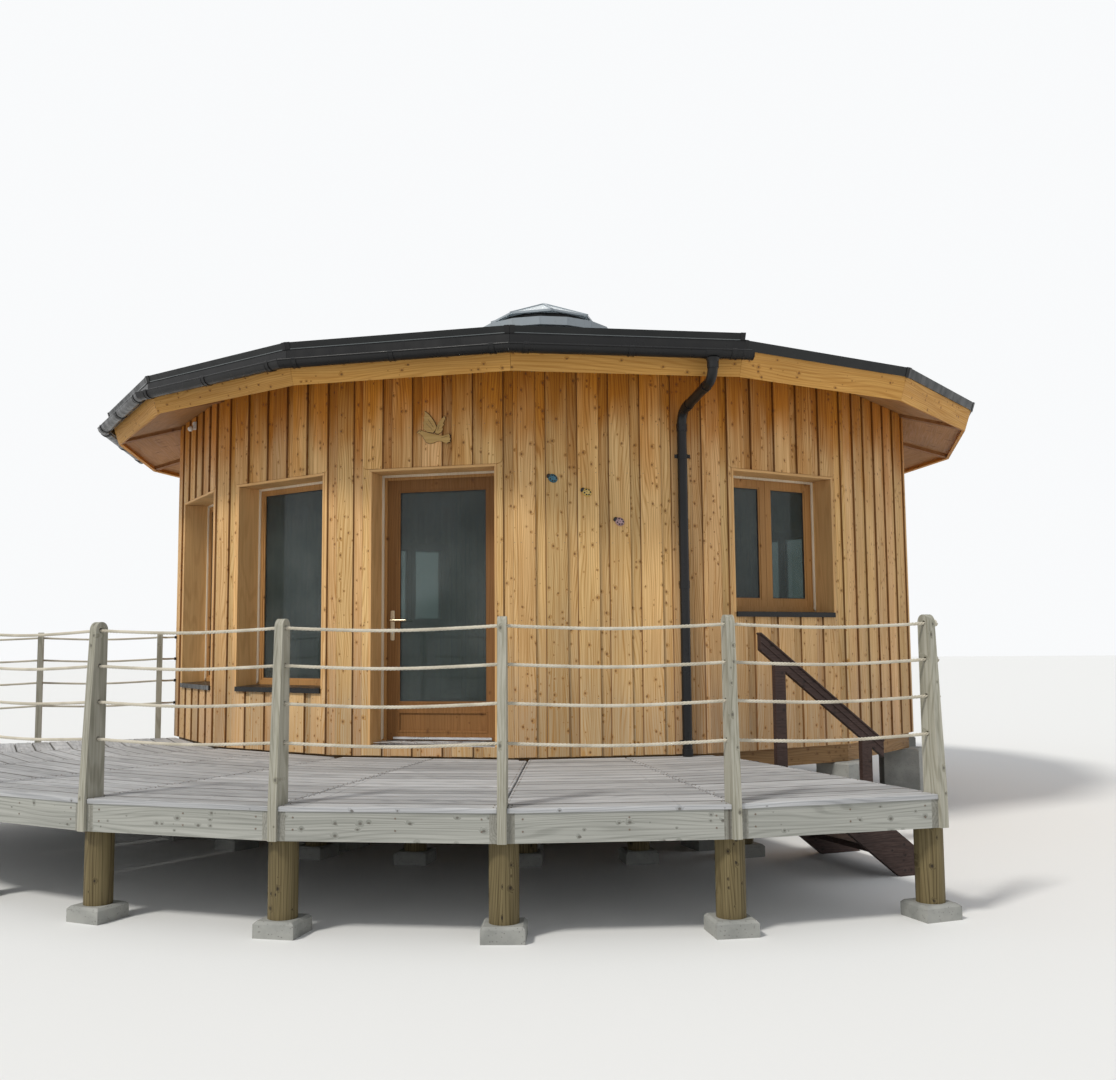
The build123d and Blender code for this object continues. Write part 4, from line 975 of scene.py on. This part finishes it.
bm = bmesh.new()
for number in GUTTER_SIDES:
    turn = STEP * number
    for x in (BRACKET_ROOM - GUTTER_HALF, GUTTER_HALF - BRACKET_ROOM, 0.0):
        add_half_band(bm, turn, about(x, 0.017), (BRACKET_INNER, 0.0555))
        for edge in about(x, 0.0195):
            add_half_band(bm, turn, about(edge, 0.0025), (BRACKET_INNER, 0.058))
        strap = (GUTTER_OUT + 0.0395, GUTTER_OUT + 0.0585)
        add_block(bm, about(x, 0.02), strap, (GUTTER_Z - 0.006, GUTTER_Z + 0.0135), turn, 0.003)
for number, side in ((1, 1), (13, -1)):
    end = side * (GUTTER_HALF + 0.03)
    add_half_band(bm, STEP * number, sorted((side * (GUTTER_HALF - 0.055), end)), (0.0495, 0.0545))
    add_half_band(bm, STEP * number, sorted((end, end - side * 0.004)), (0.001, 0.0575))
finished("gutter_fittings", bm, ANTHRACITE)


def beside_door(along, out, z):
    """Upright place on the downpipe's side."""
    return spun(STEP) @ Matrix.Translation((along, -out, z))


bm = bmesh.new()
add_half_band(bm, STEP, about(OUTLET_ALONG, 0.06), (BRACKET_INNER, 0.0548))
add_cone(bm, beside_door(OUTLET_ALONG, GUTTER_OUT, GUTTER_Z - 0.064), (0.043, 0.052), 0.03, 28)
add_sleeve(bm, beside_door(OUTLET_ALONG, GUTTER_OUT, 3.618), (PIPE_FACE, 0.0435), 0.05)
for z, length in ((3.27, 0.06), (2.03, 0.06), (0.742, 0.05)):
    add_sleeve(bm, beside_door(PIPE_ALONG, PIPE_OUT, z), (PIPE_FACE, 0.042), length)
upper = beside_door(OUTLET_ALONG, GUTTER_OUT, 3.5132).translation
lower = beside_door(PIPE_ALONG, PIPE_OUT, 3.3932).translation
lean = (lower - upper).to_track_quat("Z", "Y").to_matrix().to_4x4()
for share in (0.24, 0.78):
    add_sleeve(bm, Matrix.Translation(upper.lerp(lower, share)) @ lean, (PIPE_FACE, 0.042), 0.05)
finished("downpipe_collars", bm, ANTHRACITE)

bm = bmesh.new()
for z in (3.0403, 0.82):
    for side in (-1, 1):
        x = PIPE_ALONG + side * 0.051
        add_block(bm, about(x, 0.012), about(PIPE_OUT, 0.005), about(z, 0.015), STEP, 0.001)
        add_cone(bm, outward(STEP, x + side * 0.002, PIPE_OUT, z), (0.006, 0.006), 0.024, 6)
finished("downpipe_clip_ears", bm, ANTHRACITE)


# Skylight bars and bands
bm = bmesh.new()
corner = PANE_EDGE / math.cos(math.pi / PANE_SIDES)
rise = APEX - PANE_FOOT - 0.012
for k in range(PANE_SIDES):
    angle = math.tau / PANE_SIDES * (k + 0.5)
    points = []
    for distance in (corner + 0.004, 0.045):
        z = APEX + 0.004 - distance / corner * rise
        points.append(Vector((distance * math.sin(angle), -distance * math.cos(angle), z)))
    add_bar(bm, *points, 0.03, 0.011, 0.002)
    front = PANE_EDGE + 0.003
    rim = ((0, -0.006), (0, 0.015), (0.035, 0.03), (0.035, 0.024), (0.004, 0.011), (0.004, -0.006))
    add_run(bm, k, [(front - inward, PANE_FOOT + up) for inward, up in rim], sides=PANE_SIDES)
finished("skylight_bars", bm, GREY)

ROOFING_RISE = 0.206
CURB_FACE = 0.6275
BAND_FACE = 0.633
APRON_EDGE = 0.70
bm = bmesh.new()
for number in range(SIDES):
    add_run(bm, number, [(0.4995, 5.088), (0.503, 5.087), (0.503, 5.158), (0.4995, 5.158)])
    base = roof_height(CURB_FACE + 0.0005, ROOFING_RISE)
    low = base - 0.004
    add_run(bm, number, [(CURB_FACE, low), (BAND_FACE, low), (BAND_FACE, CURB_TOP), (CURB_FACE, CURB_TOP)])
    foot = roof_height(APRON_EDGE, ROOFING_RISE)
    high = base + 0.012
    apron = [(APRON_EDGE, foot), (APRON_EDGE, foot + 0.004), (BAND_FACE, high), (CURB_FACE, high)]
    add_run(bm, number, [(CURB_FACE, base)] + apron)
finished("skylight_flashing", bm, ANTHRACITE)


# Deck boards

DECK_THICK = 0.027


def bearing(point):
    """Angle of a point about the cabin's axis, 0 at the door."""
    return math.atan2(point.x, -point.y)


def whole(bm):
    """All of a bmesh."""
    return bm.verts[:] + bm.edges[:] + bm.faces[:]


def clip(bm, geometry, point, normal, keep_both=False):
    """Cut by a plane and remove what lies beyond it."""
    bmesh.ops.bisect_plane(bm, geom=geometry, plane_co=point, plane_no=normal, clear_outer=not keep_both)


def clip_to_walls(bm, turn, inner):
    """Cut a board back from the two wall sides nearest to it."""
    corner = round((turn - STEP / 2) / STEP) * STEP + STEP / 2
    if abs(turn - corner) < BAY / 2 and inner < (WALL + 0.02) / math.cos(STEP / 2):
        clip(bm, whole(bm), (0, 0, 0), Vector((math.cos(corner), math.sin(corner), 0)), True)
    for facet in (corner - STEP / 2, corner + STEP / 2):
        faces = [f for f in bm.faces if abs(bearing(f.calc_center_median()) - facet) < STEP / 2]
        around = {item for f in faces for item in (*f.edges, *f.verts)}
        normal = Vector((math.sin(facet), -math.cos(facet), 0))
        if faces:
            clip(bm, faces + list(around), normal * (WALL + BOARD_THICK + 0.004), -normal)


def add_deck_board(bm, turn, outer, inner, end_gap):
    """One board across a bay, cut along the seams and to the walls."""
    sheet = bmesh.new()
    place = spun(turn) @ Matrix.Translation((0, -(outer + inner) / 2, DECK_TOP - DECK_THICK))
    place = place @ Matrix.Diagonal((3, (outer - inner) / 2, 1, 1))
    bmesh.ops.create_grid(sheet, x_segments=1, y_segments=1, size=1, matrix=place)
    for side in (-1, 1):
        angle = turn + side * BAY / 2
        away = Vector((math.cos(angle), math.sin(angle), 0)) * side
        clip(sheet, whole(sheet), -away * end_gap, away)
    clip_to_walls(sheet, turn, inner)
    bmesh.ops.remove_doubles(sheet, verts=sheet.verts[:], dist=0.0005)
    if not sheet.faces:
        sheet.free()
        return
    bmesh.ops.dissolve_limit(sheet, angle_limit=0.01, verts=sheet.verts[:], edges=sheet.edges[:])
    thickened(sheet, sheet.faces[:], (0, 0, DECK_THICK + draw.uniform(-0.0012, 0.0012)))
    bmesh.ops.recalc_face_normals(sheet, faces=sheet.faces)
    middle = DECK_TOP - DECK_THICK / 2
    upper = [e for e in sheet.edges if min(v.co.z for v in e.verts) > middle and len(e.link_faces) == 2]
    ease(sheet, upper, 0.003)
    add_mesh(bm, as_mesh("board", sheet))


bm = bmesh.new()
screws = bmesh.new()
for bay in range(BAYS):
    turn = DECK_START + (bay + 0.5) * BAY
    outer = DECK_CHORD + DECK_OVERHANG
    while outer > WALL:
        inner = outer - DECK_BOARD
        first = outer > DECK_CHORD
        add_deck_board(bm, turn, outer, inner, 0.028 if first else 0.0055)
        for out in (outer - 0.03, inner + 0.03):
            for side in (-1, 1):
                along = side * (out * math.tan(BAY / 2) - 0.022 - 0.026 * first)
                spot = outward(turn, along, out, DECK_TOP).translation
                if spot.length > WALL + 0.16:
                    add_cone(screws, Matrix.Translation(spot), (0.0045, 0.004), 0.0036, 8)
        outer = inner - DECK_GAP
deck_boards = finished("deck_boards", bm, DECK)
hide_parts("decking")
finished("deck_screws", screws, NAIL)


# Ropes

ROPE_HEIGHTS = (0.336, 0.551, 0.761, 0.970)
PLANK_INNER = DECK_RADIUS + 0.02 - 0.145
ROPE_RING = PLANK_INNER + 0.055
SEAM_HALF = 0.025
ROPE_SIDE = SEAM_HALF + 0.004 + 0.010
EYE_FACE = WALL + 0.006
SIDE_PLANKS = (4.01, 5.07)
KNOT_RADIUS = 0.0125
KNOT_STEPS = 16
KNOT_COILS = 3
ROPE_SAG = 0.022
SAG_SPAN = 1.24
STRAND = 0.0054
STRAND_GAP = 0.0112
LAY = 0.066
DECK_END = DECK_START + BAYS * BAY


def seam_point(sideways, distance, angle, height):
    """Point at a distance along a seam and sideways from it."""
    return spun(angle) @ Vector((sideways, -distance, DECK_TOP + height))


def hanging(first, second):
    """Points of a sagging span: near its start, at its middle, near its end, and the far hole."""
    drop = ROPE_SAG * (second - first).length / SAG_SPAN
    points = []
    for share, dip in ((0.12, 0.42), (0.5, 1.2), (0.88, 0.42)):
        points.append(first.lerp(second, share) - Vector((0, 0, drop * dip)))
    return points + [second]


def wall_end():
    """How far out along the first seam the rope leaves its socket on the wall."""
    lean = round(DECK_START / STEP) * STEP - DECK_START
    return (EYE_FACE + ROPE_SIDE * math.sin(lean)) / math.cos(lean) + 0.03


def rope_route(height):
    """Control points of one rope, from the socket on the wall to past the last plank."""
    stops = [seam_point(-ROPE_SIDE, radius, DECK_START, height) for radius in (*SIDE_PLANKS, ROPE_RING)]
    holes = [seam_point(0, ROPE_RING, DECK_START + k * BAY, height) for k in range(BAYS + 1)]
    start = seam_point(-ROPE_SIDE, wall_end() - 0.004, DECK_START, height)
    route = [start, seam_point(-ROPE_SIDE, wall_end() + 0.02, DECK_START, height)]
    for stop in stops:
        route += hanging(route[-1], stop)
    route.append(holes[0])
    for hole in holes[1:]:
        route += hanging(route[-1], hole)
    return route + [seam_point(SEAM_HALF + 0.03, ROPE_RING, DECK_END, height)]


def curve_mesh(points, kind, radius=0.0, resolution=0):
    """Mesh of a curve through points: a bare line, or a round tube where a radius is given."""
    curve = bpy.data.curves.new("line", "CURVE")
    curve.dimensions = "3D"
    curve.use_fill_caps = True
    curve.bevel_depth = radius
    curve.bevel_resolution = resolution
    spline = curve.splines.new(kind)
    spline.points.add(len(points) - 1)
    for point, place in zip(spline.points, points):
        point.co = (*place, 1)
    spline.order_u = 3
    spline.use_endpoint_u = True
    spline.resolution_u = 8
    helper = in_scene("line", curve)
    bpy.context.view_layer.update()
    mesh = bpy.data.meshes.new_from_object(helper.evaluated_get(bpy.context.evaluated_depsgraph_get()))
    bpy.data.objects.remove(helper)
    bpy.data.curves.remove(curve)
    return mesh


def smooth_line(route):
    """Close points along a smooth curve through the route."""
    mesh = curve_mesh(route, "NURBS")
    points = [vertex.co.copy() for vertex in mesh.vertices]
    bpy.data.meshes.remove(mesh)
    return points


def add_tube(bm, points, radius, resolution=1):
    """Round tube through points."""
    add_mesh(bm, curve_mesh(points, "POLY", radius, resolution))


def evenly(points, gap):
    """Points a fixed distance apart along a line."""
    kept = [points[0]]
    left = gap
    for first, second in zip(points, points[1:]):
        length = (second - first).length
        done = 0.0
        while length - done >= left:
            done += left
            kept.append(first.lerp(second, done / length))
            left = gap
        left -= length - done
    return kept


def strand_line(centre, phase):
    """Line of one strand wound round the rope's line."""
    line = []
    for k, place in enumerate(centre):
        ahead = centre[min(k + 1, len(centre) - 1)] - centre[max(k - 1, 0)]
        side = ahead.cross(Vector((0, 0, 1))).normalized()
        up = side.cross(ahead).normalized()
        turn = phase + math.tau * k * STRAND_GAP / LAY
        line.append(place + (side * math.cos(turn) + up * math.sin(turn)) * STRAND * 0.9)
    return line


def knot_line(height):
    """Coils of the stopper knot behind the last plank."""
    coils = []
    for k in range(KNOT_COILS * KNOT_STEPS + 1):
        turn = math.tau * k / KNOT_STEPS
        sideways = SEAM_HALF + 0.009 + 0.008 * k / KNOT_STEPS
        out = ROPE_RING + KNOT_RADIUS * math.cos(turn)
        coils.append(seam_point(sideways, out, DECK_END, height + KNOT_RADIUS * math.sin(turn)))
    return coils


for number, height in enumerate(ROPE_HEIGHTS, start=1):
    centre = evenly(smooth_line(rope_route(height)), STRAND_GAP)
    bm = bmesh.new()
    for phase in (0, math.tau / 3, 2 * math.tau / 3):
        add_tube(bm, strand_line(centre, phase), STRAND)
    add_tube(bm, knot_line(height), 0.0085, 2)
    rope = finished(f"twisted_rope_{number}", bm, ROPE, smooth=True)
    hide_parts(f"rope_{number}")


# Screws in the rim boards
bm = bmesh.new()
for bay in range(BAYS):
    turn = DECK_START + (bay + 0.5) * BAY
    half = DECK_CHORD * math.tan(BAY / 2)
    for along in (0.05, half - 0.11, 0.11 - half):
        for z in (0.585, 0.65):
            add_cone(bm, outward(turn, along, DECK_CHORD + 0.0005, z), (0.0055, 0.005), 0.003, 10)
finished("rim_screws", bm, NAIL)


# Cap and bead of the stair's handrail
TREAD_RUN = 0.228
RAIL_FALL = DECK_TOP / 4 / TREAD_RUN
RAIL_TOP = DECK_TOP + 0.931 + 0.1 * RAIL_FALL
RAIL_FACE = WALL + 0.57


def rail_point(run, out, down):
    """Place along the handrail, from its distance past the deck's end."""
    return spun(DECK_END) @ Vector((run, -out, RAIL_TOP - run * RAIL_FALL - down))


bm = bmesh.new()
middle = RAIL_FACE - 0.0225
add_bar(bm, rail_point(0.098, middle, -0.006), rail_point(1.177, middle, -0.006), 0.066, 0.016, 0.004)
add_bar(bm, rail_point(0.102, RAIL_FACE, 0.055), rail_point(1.173, RAIL_FACE, 0.055), 0.014, 0.012, 0.003)
finished("handrail_cap", bm, STAIN)


# Wooden bird over the door
BIRD_MIDDLE = (0.073, 3.289)
BIRD_BODY = (
    (-141, -38), (-119, -16), (-83, -26), (-28, -46), (32, -60), (75, -69), (125, -58), (135, -75),
    (129, -83), (141, -97), (131, -105), (137, -121), (115, -123), (109, -137), (85, -123), (67, -113),
    (32, -109), (-4, -123), (-36, -127), (-64, -115), (-83, -83), (-99, -56), (-119, -42),
)
NEAR_WING = (
    (-77, 135), (-52, 117), (-28, 93), (-4, 60), (12, 32), (24, 0), (12, -24), (-4, -42),
    (-52, -34), (-67, -20), (-88, -2), (-79, 20), (-89, 40), (-75, 64), (-84, 83), (-72, 105),
)
FAR_WING = (
    (87, 89), (64, 67), (40, 40), (24, 12), (12, -24), (8, -44), (36, -56), (60, -40),
    (75, -16), (67, 0), (85, 20), (75, 32), (95, 67),
)
FEATHERS = (((-46, 67), (0, 0)), ((-60, 32), (-12, -16)), ((44, 16), (32, -24)), ((115, -75), (63, -87)))
PANEL_FACE = WALL + BOARD_THICK + 0.0035


def by_middle(points):
    """Places on the door side from millimetres about the bird's middle."""
    return [(BIRD_MIDDLE[0] + x / 1000, BIRD_MIDDLE[1] + z / 1000) for x, z in points]


bm = bmesh.new()
for outline, low, high in ((FAR_WING, 0, 0.008), (BIRD_BODY, 0, 0.013), (NEAR_WING, 0.0125, 0.018)):
    add_plate(bm, by_middle(outline), (PANEL_FACE + low, PANEL_FACE + high), 0, 0.0015)
finished("carved_bird", bm, CARVED)
bm = bmesh.new()
# Dark plates a little larger than the outlines, behind them: painted shadow round the bird.
for outline in (FAR_WING, BIRD_BODY, NEAR_WING):
    middle = [sum(values) / len(outline) for values in zip(*outline)]
    grown = [(x + 0.05 * (x - middle[0]), z + 0.05 * (z - middle[1])) for x, z in outline]
    add_plate(bm, by_middle(grown), (PANEL_FACE, PANEL_FACE + 0.003), 0, 0)
for feather, lift in zip(FEATHERS, (0.018, 0.018, 0.008, 0.013)):
    start, end = (Vector((x, -PANEL_FACE - lift, z)) for x, z in by_middle(feather))
    add_bar(bm, start, end, 0.0022, 0.0022, 0)
eye = by_middle([(-114, -27)])[0]
add_cone(bm, outward(0, eye[0], PANEL_FACE + 0.0134, eye[1]), (0.0035, 0.003), 0.0016, 12)
finished("bird_lines_and_shadow_outline", bm, STAIN)


# Three ladybird ornaments
SHELL_TILT = math.radians(62)
LADYBIRDS = (((-0.478, 2.86), TEAL_PAINT), ((-0.211, 2.754), GOLD_PAINT), ((0.047, 2.526), ROSE_PAINT))
SHELL = (0.033, 0.039, 0.021)
SPOTS = ((0.014, 0.015), (0.019, -0.005), (0.01, -0.021))


def add_ladybird_marks(bm, place):
    """Head, spots and wing seam."""
    wide, long, high = SHELL
    add_dome(bm, place @ Matrix.Translation((0, long + 0.001, 0.002)), (0.019, 0.014, 0.013), 16)
    for side in (-1, 1):
        for across, along in SPOTS:
            up = high * math.sqrt(1 - (across / wide) ** 2 - (along / long) ** 2)
            spot = place @ Matrix.Translation((side * across, along, up - 0.001))
            add_dome(bm, spot, (0.0075, 0.0075, 0.0035), 12)
    seam = [(along * long, up * high) for along, up in ((0.92, 0.37), (0.55, 0.83), (0, 1.01), (-0.92, 0.37))]
    add_tube(bm, [place @ Vector((0, along, up)) for along, up in seam], 0.0014)


marks = bmesh.new()
for number, ((x, z), paint) in enumerate(LADYBIRDS, start=1):
    place = outward(STEP, x, WALL + 0.018, z) @ Matrix.Rotation(SHELL_TILT, 4, "Z")
    bm = bmesh.new()
    add_dome(bm, place, SHELL, 24)
    finished(f"ladybird_shell_{number}", bm, paint, smooth=True)
    add_ladybird_marks(marks, place)
finished("ladybird_marks", marks, BLACK, smooth=True)


# Floor, light and camera


def studio():
    """Pale floor, soft light and an even white surround."""
    bm = bmesh.new()
    bmesh.ops.create_grid(bm, x_segments=1, y_segments=1, size=120)
    floor = in_scene("studio_floor", as_mesh("studio_floor", bm))
    material, graph, shader = new_material("studio_floor")
    graph.wire(shader, Base_Color=(0.82, 0.82, 0.81), Roughness=0.95)
    floor.data.materials.append(material)

    world = bpy.data.worlds.new("studio")
    bpy.context.scene.world = world
    world.use_nodes = True
    graph = Graph(world.node_tree)
    surround = graph.tree.nodes["Background"]
    graph.wire(surround, Color=(0.93, 0.96, 1.0), Strength=0.62)
    seen = graph.add("ShaderNodeBackground", Color=(0.95, 0.96, 0.97), Strength=1.0)
    path = graph.add("ShaderNodeLightPath").outputs
    through = graph.math("MAXIMUM", path["Is Glossy Ray"], path["Is Transmission Ray"])
    blend = graph.add("ShaderNodeMixShader")
    direct = graph.math("MAXIMUM", path["Is Camera Ray"], through)
    for socket, value in zip(blend.inputs, (direct, surround.outputs[0], seen.outputs[0])):
        graph.feed(socket, value)
    graph.wire(graph.tree.nodes["World Output"], Surface=blend.outputs[0])

    sun = bpy.data.lights.new("key", "SUN")
    sun.energy = 2.0
    sun.angle = math.radians(9)
    sun.color = (1.0, 0.97, 0.91)
    key = in_scene("key", sun)
    key.rotation_euler = Vector((0.42, 0.72, -0.95)).to_track_quat("-Z", "Y").to_euler()


CAMERA_AZIMUTH = math.radians(14.41)
CAMERA_DISTANCE = 12.626
CAMERA_HEIGHT = 1.569
FOCAL_LENGTH = 36.946
YAW = 0.0109
TILT = 0.0917
ROLL = -0.0086


def camera():
    """Camera where the photograph was taken."""
    spot = Vector((math.sin(CAMERA_AZIMUTH), -math.cos(CAMERA_AZIMUTH), 0)) * CAMERA_DISTANCE
    spot.z = CAMERA_HEIGHT
    heading = math.atan2(-spot.x, -spot.y) + YAW
    forward = Vector((math.sin(heading) * math.cos(TILT), math.cos(heading) * math.cos(TILT), math.sin(TILT)))
    right = forward.cross(Vector((0, 0, 1))).normalized()
    up = right.cross(forward)
    level_right = right * math.cos(ROLL) + up * math.sin(ROLL)
    level_up = up * math.cos(ROLL) - right * math.sin(ROLL)
    lens = bpy.data.cameras.new("camera")
    lens.sensor_width = 36
    lens.lens = FOCAL_LENGTH
    lens.clip_end = 500
    seen = in_scene("camera", lens)
    turn = Matrix((level_right, level_up, -forward)).transposed().to_4x4()
    seen.matrix_world = Matrix.Translation(spot) @ turn
    bpy.context.scene.camera = seen


studio()
camera()
bpy.context.scene.view_settings.view_transform = "Standard"
